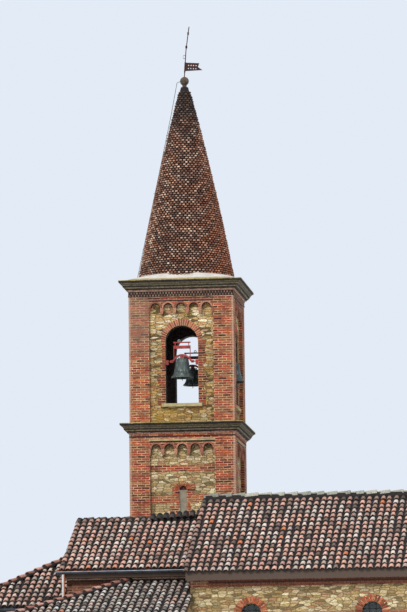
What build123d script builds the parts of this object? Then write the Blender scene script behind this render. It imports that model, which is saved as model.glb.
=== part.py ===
from build123d import *
import os
from math import asin, cos, hypot, pi, radians, sin, sqrt

# Country church with a square brick bell tower and a round conical spire.
# Origin on the ground under the tower's centre, +X towards the main front,
# -Y towards the side chapel, +Z up. All sizes in millimetres.

# Tower plan
BELFRY_SIDE = 3330.0
SHAFT_SIDE = 3360.0
PIER_WIDTH = 650.0
PANEL_RECESS = 120.0
BELFRY_WALL = 500.0
SHAFT_WALL = 600.0

# Tower heights: plain base, shaft up to the middle cornice, belfry up to the top cornice
BASE_HEIGHT = 6300.0
SHAFT_HEIGHT = 4070.0
BELFRY_HEIGHT = 4530.0
SLAB = 150.0

# Mouldings of both cornices, from the bottom up: height, projection below, projection above, bulge
MOULDINGS = (
    (55.0, 25.0, 55.0, -6.0),
    (30.0, 80.0, 80.0, 0.0),
    (60.0, 95.0, 145.0, 12.0),
    (35.0, 165.0, 165.0, 0.0),
    (110.0, 180.0, 270.0, -14.0),
    (60.0, 285.0, 285.0, 0.0),
)

# Blind arcades under the cornices
ARCHES = 5
ARCH_RADIUS = 150.0
ARCH_SIDES = 6
BELFRY_SPRINGING_DROP = 520.0
SHAFT_SPRINGING_DROP = 530.0
CORBEL_LENGTH = 130.0
CORBEL_FOOT = 56.0

# Belfry openings: springing below the top of the cornice, sill above the belfry floor
OPENING_WIDTH = 1040.0
OPENING_SPRINGING = 1950.0
OPENING_SILL = 620.0
ARCHIVOLT_CROWN = 200.0
ARCHIVOLT_FOOT = 130.0
ARCHIVOLT_PROUD = 12.0
SILL_LENGTH = 1280.0
SILL_HEIGHT = 100.0
SILL_PROUD = 95.0

# Blind slits of the shaft
SLIT_WIDTH = 220.0
SLIT_DEPTH = 100.0
SLIT_DROP = 1990.0
SLIT_HEIGHT = 1130.0

# Spire
SPIRE_BASE_RADIUS = 1540.0
SPIRE_TOP_RADIUS = 118.0
SPIRE_HEIGHT = 6450.0
SPIRE_ENTASIS = 66.0
SPIRE_WALL = 330.0
SPIRE_CAP = 900.0
SPIRE_BANDS = 4
SPIRE_SIDES = 48
APRON_FOOT = 1800.0
APRON_HEIGHT = 600.0
APRON_SIDE_SLOPE = 0.7
APRON_CORNER_SLOPE = 0.25

# Finial, rod and vane
COLLAR_RADIUS = 70.0
COLLAR_HEIGHT = 70.0
BALL_RADIUS = 145.0
BALL_SEAT = 0.9
BALL_CUTS = 7
BALL_SIDES = 20
ROD_RADIUS = 15.0
ROD_LEAN = 4.0
ROD_TIP_LEAN = 8.0
ROD_LOWER = 900.0
ROD_UPPER = 750.0
ROD_SIDES = 8
VANE_RISE = 190.0
VANE_HEIGHT = 300.0
VANE_LENGTH = 570.0
VANE_NOTCH = 150.0
VANE_THICK = 6.0
VANE_HOLE = 0.1
VANE_SLEEVE = 8.0
PIN_CLEARANCE = 0.1
BORE_SIDES = 12
WIRE_RADIUS = 8.0
WIRE_SIDES = 6
WIRE_CLEAR = 95.0
WIRE_CLIPS = 0.19, 0.47, 0.76
SEAT_GAP = 0.3

# Bells and their headstocks
BELL_INSET = 205.0
BELL_AXIS_DROP = 2569.0
BELL_CROWN_RISE = 80.0
BELL_RADIUS = 370.0
BELL_HEIGHT = 610.0
BELL_SIDES = 24
TRUNNION_RADIUS = 18.0
YOKE_SPAN = 285.0
YOKE_RISE = 205.0
YOKE_THICK = 55.0
YOKE_SIDES = 12
YOKE_DEPTH = 84.0
YOKE_LUG = 38.0
YOKE_LUG_LENGTH = 90.0
HANGER_WIDTH = 120.0
HANGER_ROD = 24.0
BEAM_LENGTH = 540.0
BEAM_RISE = 455.0
BEAM_HEIGHT = 95.0
BEAM_DEPTH = 60.0
TOP_BAR_RISE = 605.0
TOP_BAR_HEIGHT = 38.0
TOP_BAR_DEPTH = 50.0
BEARING_LENGTH = 90.0
BEARING_HEIGHT = 150.0
BEARING_DEPTH = 110.0
BEARING_TOP = 45.0
CLAPPER_BALL = 42.0
CLAPPER_CUTS = 6
CLAPPER_SIDES = 10
CLAPPER_ROD = 10.0
CLAPPER_TAIL = 55.0
CLAPPER_PIN = 10.0
CLAPPER_DROP = 60.0
STAPLE_GAP = 4.0
STAPLE_WIDTH = 20.0
BACK_BELL_SHARE = 0.86

# Church plan
CHURCH_WALL = 550.0
CHAPEL_WALL = 450.0
NAVE_HALF = 5300.0
NAVE_START = 1250.0
NAVE_END = 12000.0
PRESBYTERY_HALF = 3750.0
PRESBYTERY_START = -2650.0
CHOIR_START = -5640.0
CHAPEL_START = -3950.0
CHAPEL_REACH = 3650.0
EAVE = 300.0
CHAPEL_EAVE = 250.0
VERGE = 110.0

# Roofs: ridge heights and slopes of the outer faces
ROOF_THICK = 200.0
NAVE_RIDGE = 7540.0
NAVE_SLOPE = 0.47
RIDGE_STEP = 530.0
PRESBYTERY_SLOPE = 0.457
CHOIR_STEP = 1110.0
CHOIR_SLOPE = 0.446
CHOIR_END_SLOPE = 0.568
CHAPEL_STEP = 2220.0
CHAPEL_APEX_X = -690.0
CHAPEL_SLOPE = 0.348
CHAPEL_SIDE_SLOPE = 0.387
CAP_RADIUS = 95.0
CAP_SIDES = 12

# Roof tiles: columns of covers, with channels between them
TILE_PITCH = 205.0
TILE_RISE = 85.0
TILE_BED = 12.0
TILE_FOOT = 52.0
TILE_CROWN = 30.0

# Doors, windows and inner arches
HEAD_SIDES = 14
PORTAL_WIDTH = 1500.0
PORTAL_SPRINGING = 2150.0
DOOR_THICK = 70.0
OCULUS_RADIUS = 450.0
OCULUS_HEIGHT = 5300.0
OCULUS_SIDES = 24
WINDOW_WIDTH = 600.0
WINDOW_SILL = 2600.0
WINDOW_SPRINGING = 3700.0
GLASS = 12.0
NAVE_WINDOWS = 3
CHANCEL_ARCH_WIDTH = 3200.0
CHANCEL_ARCH_SPRINGING = 2600.0
CHOIR_ARCH_WIDTH = 3600.0
CHOIR_ARCH_SPRINGING = 2400.0
CHOIR_WINDOW_SILL = 2525.0
CHOIR_WINDOW_SPRINGING = 3400.0
CHAPEL_ARCH_WIDTH = 2000.0
CHAPEL_ARCH_SPRINGING = 2100.0
CHAPEL_WINDOW_SILL = 1300.0
CHAPEL_WINDOW_SPRINGING = 2100.0
TOWER_DOOR_WIDTH = 900.0
TOWER_DOOR_HEIGHT = 2150.0

# Eaves cornice and gutters
COURSE = 75.0
COURSES = 4
COURSE_STEP = 45.0
GUTTER_RADIUS = 75.0
GUTTER_WALL = 5.0
GUTTER_PAST = 170.0
GUTTER_SIDES = 16
PIPE_RADIUS = 45.0
PIPE_SIDES = 12
PIPE_LENGTH = 720.0

BASE_TOP = BASE_HEIGHT
MID_CORNICE_TOP = BASE_TOP + SHAFT_HEIGHT
TOP_CORNICE_TOP = MID_CORNICE_TOP + BELFRY_HEIGHT
SPIRE_TOP = TOP_CORNICE_TOP + SPIRE_HEIGHT
BALL_CENTRE = SPIRE_TOP + COLLAR_HEIGHT + BALL_SEAT * BALL_RADIUS
CORNICE_HEIGHT = sum(height for height, low, high, bulge in MOULDINGS)
SHAFT_HALF = SHAFT_SIDE / 2
BELFRY_HALF = BELFRY_SIDE / 2
RIDGE_Y = -(SHAFT_HALF + PRESBYTERY_HALF)
PRESBYTERY_RIDGE = NAVE_RIDGE - RIDGE_STEP
CHOIR_APEX = PRESBYTERY_RIDGE - CHOIR_STEP
CHAPEL_TOP = PRESBYTERY_RIDGE - CHAPEL_STEP
FAR = 60000.0
# Each saddle roof: half width of the walls, ridge height, slope
NAVE = NAVE_HALF, NAVE_RIDGE, NAVE_SLOPE
PRESBYTERY = PRESBYTERY_HALF, PRESBYTERY_RIDGE, PRESBYTERY_SLOPE
CHOIR = PRESBYTERY_HALF, CHOIR_APEX, CHOIR_SLOPE


def block(x0, x1, y0, y1, z0, z1):
    """Box between two corners."""
    return Pos((x0 + x1) / 2, (y0 + y1) / 2, (z0 + z1) / 2) * Box(x1 - x0, y1 - y0, z1 - z0)


def prism_x(points, x0, x1):
    """Outline of (y, z) points carried along X."""
    face = Face(Wire.make_polygon([(x0, y, z) for y, z in points]))
    return extrude(face, amount=x1 - x0, dir=(1, 0, 0))


def prism_y(points, y0, y1):
    """Outline of (x, z) points carried along Y."""
    face = Face(Wire.make_polygon([(x, y0, z) for x, z in points]))
    return extrude(face, amount=y1 - y0, dir=(0, 1, 0))


def bar(start, end, radius, sides=0):
    """Bar between two points, round or with flat sides."""
    start, end = Vector(*start), Vector(*end)
    way = end - start
    if sides:
        return extrude(Plane(origin=start, z_dir=way) * RegularPolygon(radius, sides), amount=way.length)
    return Plane(origin=start + way / 2, z_dir=way) * Cylinder(radius, way.length)


def bore(start, end, pin):
    """Cutter of a bore of flat sides that clears a round pin."""
    return bar(start, end, (pin + PIN_CLEARANCE) / cos(pi / BORE_SIDES), BORE_SIDES)


def rings(profile, sides):
    """Turned solid of flat strips, from (radius, height) pairs along its profile."""
    turns = [2 * pi * i / sides for i in range(sides)]
    layers = [[(radius * cos(turn), radius * sin(turn), z) for turn in turns] for radius, z in profile]
    faces = [Face(Wire.make_polygon(layer)) for layer in (layers[0], layers[-1])]
    for low, high in zip(layers, layers[1:]):
        for i in range(sides):
            strip = [low[i - 1], low[i], high[i], high[i - 1]]
            faces.append(Face(Wire.make_polygon(strip)))
    return Solid(Shell(faces))


def ball(radius, cuts, sides):
    """Ball of level rings round the origin, flat where it is seated and pierced."""
    angles = [pi * (i + 0.5) / cuts for i in range(cuts)]
    return rings([(radius * sin(angle), -radius * cos(angle)) for angle in angles], sides)


def arch_points(radius, centre, springing, sides):
    """Half circle over its springing line, from right to left, one side to each few bricks."""
    angles = [pi * i / sides for i in range(sides + 1)]
    return [(centre + radius * cos(angle), springing + radius * sin(angle)) for angle in angles]


def low_arch(half, rise, sides):
    """Arch flatter than a half circle over the line Z = 0, from right to left."""
    radius = (half * half + rise * rise) / (2 * rise)
    sweep = asin(half / radius)
    angles = [sweep * (1 - 2 * i / sides) for i in range(sides + 1)]
    return [(radius * sin(angle), radius * cos(angle) + rise - radius) for angle in angles]


def arched_hole(width, bottom, springing, depth0, depth1):
    """Round-headed cutter centred on X = 0, carried along Y."""
    half = width / 2
    head = arch_points(half, 0, springing, HEAD_SIDES)
    return prism_y([(-half, bottom), (half, bottom), *head], depth0, depth1)


def along_x(cutter, y):
    """Turn a cutter that runs along Y so that it runs along X, centred on y."""
    return Pos(0, y, 0) * Rot(0, 0, 90) * cutter


def four_sides(front):
    """The same piece on the front, right, back and left faces of the tower."""
    return [Rot(0, 0, 90 * turn) * front for turn in range(4)]


def moulding(z_low, z_high, half_low, half_high, bulge):
    """One course of a square cornice, mitred at the corners, with a swelling or hollow face."""
    rise = z_high - z_low
    run = half_high - half_low
    length = hypot(rise, run)
    middle = ((half_low + half_high) / 2 + bulge * rise / length, (z_low + z_high) / 2 - bulge * run / length)
    low, high = (half_low, z_low), (half_high, z_high)
    sides = []
    for sign in (1, -1):
        start, end = (sign * low[0], low[1]), (sign * high[0], high[1])
        if bulge:
            sides.append(ThreePointArc(start, (sign * middle[0], middle[1]), end))
        else:
            sides.append(Line(start, end))
    outline = sides[0] + Line(high, (-high[0], high[1])) + sides[1] + Line((-low[0], low[1]), low)
    slab = extrude(make_face(Plane.XZ * outline), amount=2 * max(half_low, half_high), both=True)
    return slab & (Rot(0, 0, 90) * slab)


def cornice(top, half):
    """Square cornice of stacked mouldings, its top at the given height."""
    z = top - CORNICE_HEIGHT
    solid = None
    for height, low, high, bulge in MOULDINGS:
        course = moulding(z, z + height, half + low, half + high, bulge)
        solid = course if solid is None else solid + course
        z += height
    return solid


def tower_stage(half, wall, bottom, top):
    """Corner piers of one stage, and the plain recessed panel of its front."""
    piers = []
    for sx in (-1, 1):
        for sy in (-1, 1):
            xs = sorted((sx * half, sx * (half - PIER_WIDTH)))
            ys = sorted((sy * half, sy * (half - PIER_WIDTH)))
            piers.append(block(*xs, *ys, bottom, top))
    reach = half - PIER_WIDTH
    panel = block(-reach, reach, -half + PANEL_RECESS, -half + wall, bottom, top)
    return piers, panel


def arcade(half, top, springing):
    """Blind arches on corbels, flush with the piers, over the front panel."""
    reach = half - PIER_WIDTH
    foot = springing - CORBEL_LENGTH
    front, back = -half, -half + PANEL_RECESS
    plate = block(-reach, reach, front, back, foot, top)
    pitch = 2 * reach / ARCHES
    spread = (pitch - CORBEL_FOOT) / 2
    for i in range(ARCHES):
        centre = -reach + pitch * (i + 0.5)
        head = arch_points(ARCH_RADIUS, centre, springing, ARCH_SIDES)
        plate = plate - prism_y([(centre - spread, foot), (centre + spread, foot), *head], front, back)
    return plate


def belfry_wall():
    """Front wall of the bell chamber, with its round-headed opening and the bed of its sill."""
    panel = tower_stage(BELFRY_HALF, BELFRY_WALL, MID_CORNICE_TOP, TOP_CORNICE_TOP - CORNICE_HEIGHT)[1]
    sill = MID_CORNICE_TOP + OPENING_SILL
    springing = TOP_CORNICE_TOP - OPENING_SPRINGING
    depths = -BELFRY_HALF, -BELFRY_HALF + BELFRY_WALL
    hole = arched_hole(OPENING_WIDTH, sill - SILL_HEIGHT, springing, *depths)
    return panel - hole - belfry_sill()


def belfry_sill():
    """Stone slab under the front opening."""
    top = MID_CORNICE_TOP + OPENING_SILL
    front = -BELFRY_HALF + PANEL_RECESS - SILL_PROUD
    back = -BELFRY_HALF + BELFRY_WALL
    return block(-SILL_LENGTH / 2, SILL_LENGTH / 2, front, back, top - SILL_HEIGHT, top)


def archivolt():
    """Ring of bricks on edge round the head of the front opening, thicker at its crown."""
    z = TOP_CORNICE_TOP - OPENING_SPRINGING
    inner = OPENING_WIDTH / 2
    outer = []
    for i in range(HEAD_SIDES + 1):
        angle = pi * i / HEAD_SIDES
        radius = inner + ARCHIVOLT_FOOT + (ARCHIVOLT_CROWN - ARCHIVOLT_FOOT) * sin(angle)
        outer.append((radius * cos(angle), z + radius * sin(angle)))
    back = -BELFRY_HALF + PANEL_RECESS
    return prism_y([*outer, *reversed(arch_points(inner, 0, z, HEAD_SIDES))], back - ARCHIVOLT_PROUD, back)


def spire_radius(z):
    """Outer radius of the brick cone at a height, with its slight swelling."""
    share = (z - TOP_CORNICE_TOP) / SPIRE_HEIGHT
    straight = SPIRE_BASE_RADIUS + (SPIRE_TOP_RADIUS - SPIRE_BASE_RADIUS) * share
    return straight + 4 * SPIRE_ENTASIS * share * (1 - share)


def spire():
    """Hollow cone of brick with a slight swelling, closed at its top."""
    heights = [TOP_CORNICE_TOP + SPIRE_HEIGHT * i / SPIRE_BANDS for i in range(SPIRE_BANDS + 1)]
    outer = rings([(spire_radius(z), z) for z in heights], SPIRE_SIDES)
    inner = [(SPIRE_BASE_RADIUS - SPIRE_WALL, TOP_CORNICE_TOP), (WIRE_CLEAR, SPIRE_TOP - SPIRE_CAP)]
    return outer - rings(inner, SPIRE_SIDES)


def apron(cone):
    """Mortar fillet over the cornice: steep at the middle of each side, shallow at the corners."""
    z = TOP_CORNICE_TOP
    top = z + APRON_HEIGHT
    sides = moulding(z, top, APRON_FOOT, APRON_FOOT - APRON_HEIGHT / APRON_SIDE_SLOPE, 0)
    corner = sqrt(2) * APRON_FOOT
    corners = rings([(corner, z), (corner - APRON_HEIGHT / APRON_CORNER_SLOPE, top)], SPIRE_SIDES)
    wall_middle = SPIRE_BASE_RADIUS - SPIRE_WALL / 2
    return (sides & corners) - rings([(wall_middle, z), (wall_middle, top)], SPIRE_SIDES) - cone


def finial():
    """Short collar and ball on the tip of the spire."""
    collar = rings([(COLLAR_RADIUS, SPIRE_TOP), (COLLAR_RADIUS, SPIRE_TOP + COLLAR_HEIGHT)], BALL_SIDES)
    return collar + Pos(0, 0, BALL_CENTRE) * ball(BALL_RADIUS, BALL_CUTS, BALL_SIDES)


def rod_frame():
    """Start and direction of the leaning rod over the ball."""
    z = BALL_CENTRE + BALL_SEAT * BALL_RADIUS
    return Vector(0, 0, z), Vector(sin(radians(ROD_LEAN)), 0, cos(radians(ROD_LEAN)))


def rod_point(distance):
    """Point on the straight lower part of the rod."""
    start, direction = rod_frame()
    return start + direction * distance


def spindle():
    """Wrought rod over the ball, leaning and bent further over at its top, with the vane's collar."""
    start, direction = rod_frame()
    corner = rod_point(ROD_LOWER)
    tip_way = Vector(sin(radians(ROD_TIP_LEAN)), 0, cos(radians(ROD_TIP_LEAN)))
    rod = bar(start - direction * BALL_RADIUS, corner, ROD_RADIUS)
    rod = rod + bar(corner, corner + tip_way * ROD_UPPER, ROD_RADIUS, ROD_SIDES)
    seat = rod_point(VANE_RISE - SEAT_GAP)
    collar = bar(seat - direction * (COLLAR_HEIGHT / 2), seat, ROD_RADIUS + VANE_SLEEVE, 2 * ROD_SIDES)
    return rod + collar - finial()


def vane():
    """Swallow-tailed banner on a sleeve that turns on the rod."""
    start, direction = rod_frame()
    frame = Plane(origin=rod_point(VANE_RISE), x_dir=(direction.Z, 0, -direction.X), z_dir=direction)
    inner = ROD_RADIUS + PIN_CLEARANCE
    sleeve = bar((0, 0, 0), (0, 0, VANE_HEIGHT), ROD_RADIUS + VANE_SLEEVE, BORE_SIDES)
    half = VANE_THICK / 2
    tail = VANE_LENGTH
    banner = prism_y(
        [
            (inner + half, 0.04 * VANE_HEIGHT),
            (tail, 0.22 * VANE_HEIGHT),
            (tail - VANE_NOTCH, 0.55 * VANE_HEIGHT),
            (0.8 * tail, 0.96 * VANE_HEIGHT),
            (inner + half, 0.96 * VANE_HEIGHT),
        ],
        -half,
        half,
    )
    side = VANE_HOLE * VANE_HEIGHT
    holes = [
        Pos((0.2 + 0.14 * i) * tail, 0, row * VANE_HEIGHT) * Rot(0, 45, 0) * Box(side, 4 * half, side)
        for row in (0.34, 0.68)
        for i in range(4)
    ]
    plate = sleeve + banner - bore((0, 0, -VANE_HEIGHT), (0, 0, 2 * VANE_HEIGHT), ROD_RADIUS)
    for hole in holes:
        plate = plate - hole
    return frame * plate


def conductor(cone):
    """Lightning conductor: from the ball out to the left and down beside the spire to the cornice."""
    foot_z = TOP_CORNICE_TOP + APRON_HEIGHT / 2
    knee_z = SPIRE_TOP - SPIRE_CAP
    points = [
        (-BALL_SEAT * BALL_RADIUS, 0, BALL_CENTRE),
        (-BALL_RADIUS - WIRE_CLEAR, 0, BALL_CENTRE - WIRE_CLEAR / 2),
        (-spire_radius(knee_z) - WIRE_CLEAR, 0, knee_z),
        (-spire_radius(foot_z) - WIRE_CLEAR, 0, foot_z),
    ]
    cable = bar(points[0], points[1], WIRE_RADIUS, WIRE_SIDES)
    for start, end in zip(points[1:], points[2:]):
        cable = cable + bar(start, end, WIRE_RADIUS, WIRE_SIDES)
    for share in WIRE_CLIPS:
        z = TOP_CORNICE_TOP + share * SPIRE_HEIGHT
        radius = spire_radius(z)
        ys = -WIRE_RADIUS / 2, WIRE_RADIUS / 2
        clip = block(-radius - WIRE_CLEAR, -radius + WIRE_CLEAR, *ys, z - WIRE_RADIUS, z + WIRE_RADIUS)
        cable = cable + clip
    return cable - cone - finial()


def bell(share):
    """Bell under its trunnion axis at Z = 0, with the clapper's staple; profiles in shares of its size."""
    r, h = BELL_RADIUS * share, BELL_HEIGHT * share
    top = BELL_CROWN_RISE
    mouth = top - h
    outer = [(1.0, 0.0), (0.86, 0.09), (0.74, 0.24), (0.63, 0.55), (0.58, 0.87), (0.52, 0.96), (0.4, 1.0)]
    inner = [(0.9, 0.0), (0.68, 0.23), (0.55, 0.56), (0.48, 0.85), (0.36, 0.92)]
    outside, inside = ([(r * across, mouth + h * up) for across, up in profile] for profile in (outer, inner))
    body = rings(outside, BELL_SIDES) - rings(inside, BELL_SIDES)
    pivot = clapper_pivot(share)
    lug_top = top - 0.04 * h
    for side in (-1, 1):
        xs = sorted((side * (CLAPPER_PIN + STAPLE_GAP), side * (CLAPPER_PIN + STAPLE_GAP + STAPLE_WIDTH)))
        body = body + block(*xs, -STAPLE_WIDTH, STAPLE_WIDTH, pivot - 2 * CLAPPER_PIN, lug_top)
    reach = CLAPPER_PIN + STAPLE_GAP + STAPLE_WIDTH / 2
    return body + bar((-reach, 0, pivot), (reach, 0, pivot), CLAPPER_PIN)


def clapper_pivot(share):
    """Height of the clapper's pin over the trunnion axis."""
    return BELL_CROWN_RISE - 0.07 * BELL_HEIGHT * share - CLAPPER_DROP


def clapper(share):
    """Clapper: an eye on the pin, a rod, a ball level with the lip and a tail."""
    pivot = clapper_pivot(share)
    mouth = BELL_CROWN_RISE - BELL_HEIGHT * share
    ball_z = mouth + 0.02 * BELL_HEIGHT
    foot = ball_z - CLAPPER_BALL - CLAPPER_TAIL
    half = CLAPPER_PIN + 1
    eye = bar((-half, 0, pivot), (half, 0, pivot), 2.4 * CLAPPER_PIN, CLAPPER_SIDES)
    rod = bar((0, 0, foot), (0, 0, pivot - 2 * CLAPPER_PIN), CLAPPER_ROD, CLAPPER_SIDES // 2)
    hammer = Pos(0, 0, ball_z) * ball(CLAPPER_BALL, CLAPPER_CUTS, CLAPPER_SIDES)
    return eye + rod + hammer - bore((-2 * half, 0, pivot), (2 * half, 0, pivot), CLAPPER_PIN)


def headstock():
    """Iron headstock: trunnions, arched yoke, two rods and the counterweight beams over them."""
    reach = OPENING_WIDTH / 2 - SEAT_GAP
    half = YOKE_THICK / 2
    deep = YOKE_DEPTH / 2
    outer = low_arch(YOKE_SPAN + half, YOKE_RISE + half, YOKE_SIDES)
    inner = low_arch(YOKE_SPAN - half, YOKE_RISE - half, YOKE_SIDES)
    solid = prism_y([*outer, *reversed(inner)], -deep, deep)
    lug = YOKE_SPAN + YOKE_LUG_LENGTH / 2
    pins = [bar((side * lug, 0, 0), (side * reach, 0, 0), TRUNNION_RADIUS) for side in (-1, 1)]
    bolt = 0.4 * BEAM_LENGTH
    for side in (-1, 1):
        solid = solid + Pos(side * lug, 0, 0) * Box(YOKE_LUG_LENGTH, YOKE_DEPTH, 2 * YOKE_LUG)
        rise = TOP_BAR_RISE - BEAM_RISE
        solid = solid + Pos(side * bolt, 0, BEAM_RISE + rise / 2) * Box(HANGER_ROD, HANGER_ROD, rise)
        solid = solid + Pos(side * (BEAM_LENGTH - HANGER_ROD) / 2, 0, BEAM_RISE / 2) * Box(
            HANGER_ROD, HANGER_ROD, BEAM_RISE
        )
    for pin in pins:
        solid = solid + pin
    hanger = block(-HANGER_WIDTH / 2, HANGER_WIDTH / 2, -deep, deep, BELL_CROWN_RISE, YOKE_RISE)
    beam = Pos(0, 0, BEAM_RISE) * Box(BEAM_LENGTH, BEAM_DEPTH, BEAM_HEIGHT)
    top_bar = Pos(0, 0, TOP_BAR_RISE) * Box(BEAM_LENGTH, TOP_BAR_DEPTH, TOP_BAR_HEIGHT)
    return solid + hanger + beam + top_bar


def bearings():
    """Bearing blocks of one pair of trunnions, let against the jambs of the opening."""
    blocks = []
    for side in (-1, 1):
        outer = side * OPENING_WIDTH / 2
        xs = sorted((outer, outer - side * BEARING_LENGTH))
        half = BEARING_DEPTH / 2
        solid = block(*xs, -half, half, BEARING_TOP - BEARING_HEIGHT, BEARING_TOP)
        blocks.append(solid - bore((-OPENING_WIDTH, 0, 0), (OPENING_WIDTH, 0, 0), TRUNNION_RADIUS))
    return blocks


def hung(turn, piece):
    """Place a piece of a bell, made round the trunnion axis, in one of the four openings."""
    place = Pos(0, -BELFRY_HALF + BELL_INSET, TOP_CORNICE_TOP - BELL_AXIS_DROP)
    return Rot(0, 0, 90 * turn) * place * piece


def roof_drop(slope):
    """Vertical thickness of a roof of this slope."""
    return ROOF_THICK * hypot(1, slope)


def gable_volume(x0, x1, roof):
    """Space under a saddle roof, from well above the ground up to the roof's outer face."""
    half, ridge, slope = roof
    half += EAVE
    low = ridge - slope * half
    floor = low - 2 * roof_drop(slope)
    outline = [
        (RIDGE_Y - half, floor),
        (RIDGE_Y + half, floor),
        (RIDGE_Y + half, low),
        (RIDGE_Y, ridge),
        (RIDGE_Y - half, low),
    ]
    return prism_x(outline, x0, x1)


def shell(volume, drop):
    """The roof's own thickness at the top of a volume."""
    return volume - Pos(0, 0, -drop) * volume


def tile_layer(corner, along, climb, width, plan):
    """Columns of covers and channels on a roof plane, from its lower corner, within a plan of (x, y) points."""
    plane = Plane(origin=corner, x_dir=along, z_dir=climb)
    count = round(width / TILE_PITCH)
    outline = [(-TILE_FOOT, TILE_BED)]
    for i in range(count + 1):
        centre = i * width / count
        outline += [
            (centre - TILE_FOOT, -TILE_BED),
            (centre - TILE_CROWN, -TILE_RISE),
            (centre + TILE_CROWN, -TILE_RISE),
            (centre + TILE_FOOT, -TILE_BED),
        ]
    outline.append((width + TILE_FOOT, TILE_BED))
    face = Face(Wire.make_polygon([plane.from_local_coords((x, y, 0)) for x, y in outline]))
    layer = extrude(face, amount=NAVE_HALF * 2, dir=climb)
    ground = Face(Wire.make_polygon([(x, y, 0) for x, y in plan]))
    return layer & extrude(ground, amount=FAR, dir=(0, 0, 1))


def saddle_tiles(sign, roof, x0, x1):
    """Tiles on the near or far slope of a saddle roof."""
    half, ridge, slope = roof
    edge = RIDGE_Y + sign * (half + EAVE)
    low = ridge - slope * (half + EAVE)
    plan = [(x0, edge), (x1, edge), (x1, RIDGE_Y), (x0, RIDGE_Y)]
    corner = (x0, edge, low) if sign < 0 else (x1, edge, low)
    return tile_layer(corner, (-sign, 0, 0), (0, -sign, slope), x1 - x0, plan)


def side_wall(sign, roof, x0, x1):
    """Long wall whose top follows the underside of the saddle roof."""
    half, ridge, slope = roof
    outer = RIDGE_Y + sign * half
    inner = outer - sign * CHURCH_WALL
    top_outer = ridge - slope * half - roof_drop(slope)
    top_inner = top_outer + slope * CHURCH_WALL
    return prism_x([(outer, 0), (inner, 0), (inner, top_inner), (outer, top_outer)], x0, x1)


def gable_wall(roof, x0, x1):
    """Gable wall up to the underside of the saddle roof."""
    half, ridge, slope = roof
    low = ridge - slope * half - roof_drop(slope)
    outline = [
        (RIDGE_Y - half, 0),
        (RIDGE_Y + half, 0),
        (RIDGE_Y + half, low),
        (RIDGE_Y, ridge - roof_drop(slope)),
        (RIDGE_Y - half, low),
    ]
    return prism_x(outline, x0, x1)


def window_places():
    """Centres along X of the windows in each long wall of the nave."""
    bay = (NAVE_END - NAVE_START) / NAVE_WINDOWS
    return [NAVE_START + bay * (i + 0.5) for i in range(NAVE_WINDOWS)]


def window_hole(x, y0, y1, sill=WINDOW_SILL, springing=WINDOW_SPRINGING):
    """Cutter of one round-headed window in a wall that runs along X."""
    return Pos(x, 0, 0) * arched_hole(WINDOW_WIDTH, sill, springing, y0, y1)


def nave_side(sign):
    """Long wall of the nave with its windows."""
    x0 = SHAFT_HALF if sign > 0 else NAVE_START + CHURCH_WALL
    wall = side_wall(sign, NAVE, x0, NAVE_END - CHURCH_WALL)
    ys = sorted((RIDGE_Y + sign * NAVE_HALF, RIDGE_Y + sign * (NAVE_HALF - CHURCH_WALL)))
    for x in window_places():
        wall = wall - window_hole(x, *ys)
    return wall


def facade():
    """Main front with the arched portal and a round window."""
    wall = gable_wall(NAVE, NAVE_END - CHURCH_WALL, NAVE_END)
    portal = arched_hole(PORTAL_WIDTH, 0, PORTAL_SPRINGING, -NAVE_END, -NAVE_END + CHURCH_WALL)
    return wall - along_x(portal, RIDGE_Y) - oculus(NAVE_END - 2 * CHURCH_WALL, NAVE_END + CHURCH_WALL)


def oculus(x0, x1):
    """Round window opening of the main front, carried along X."""
    return bar((x0, RIDGE_Y, OCULUS_HEIGHT), (x1, RIDGE_Y, OCULUS_HEIGHT), OCULUS_RADIUS, OCULUS_SIDES)


def door():
    """Closed plank door in the portal."""
    x = NAVE_END - CHURCH_WALL / 2
    leaf = arched_hole(PORTAL_WIDTH, 0, PORTAL_SPRINGING, -x - DOOR_THICK / 2, -x + DOOR_THICK / 2)
    return along_x(leaf, RIDGE_Y)


def nave_end_wall():
    """Inner gable wall of the nave, with the chancel arch, stopping at the tower."""
    wall = gable_wall(NAVE, NAVE_START, NAVE_START + CHURCH_WALL)
    beside = block(0, FAR, -SHAFT_HALF, FAR, -1, FAR)
    hole = arched_hole(CHANCEL_ARCH_WIDTH, 0, CHANCEL_ARCH_SPRINGING, -NAVE_START - CHURCH_WALL, -NAVE_START)
    return wall - beside - along_x(hole, RIDGE_Y)


def tower_space():
    """Plan of the tower, as a cutter for the roofs that meet it."""
    return block(-SHAFT_HALF, SHAFT_HALF, -SHAFT_HALF, SHAFT_HALF, 0, TOP_CORNICE_TOP)


def half_space(sign):
    """Everything on one side of the ridge."""
    ys = sorted((RIDGE_Y, RIDGE_Y + sign * FAR))
    return block(-FAR, FAR, *ys, 0, FAR)


def choir_volume():
    """Space under the hipped roof of the choir."""
    half = PRESBYTERY_HALF + EAVE
    low = CHOIR_APEX - CHOIR_SLOPE * half
    floor = low - 2 * roof_drop(CHOIR_SLOPE)
    start, end = CHOIR_START - EAVE, PRESBYTERY_START
    apex = start + (CHOIR_APEX - low) / CHOIR_END_SLOPE
    across = prism_x(
        [
            (RIDGE_Y - half, floor),
            (RIDGE_Y + half, floor),
            (RIDGE_Y + half, low),
            (RIDGE_Y, CHOIR_APEX),
            (RIDGE_Y - half, low),
        ],
        start,
        end,
    )
    lengthwise = prism_y(
        [(start, floor), (end, floor), (end, CHOIR_APEX), (apex, CHOIR_APEX), (start, low)],
        RIDGE_Y - half,
        RIDGE_Y + half,
    )
    return across & lengthwise


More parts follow.
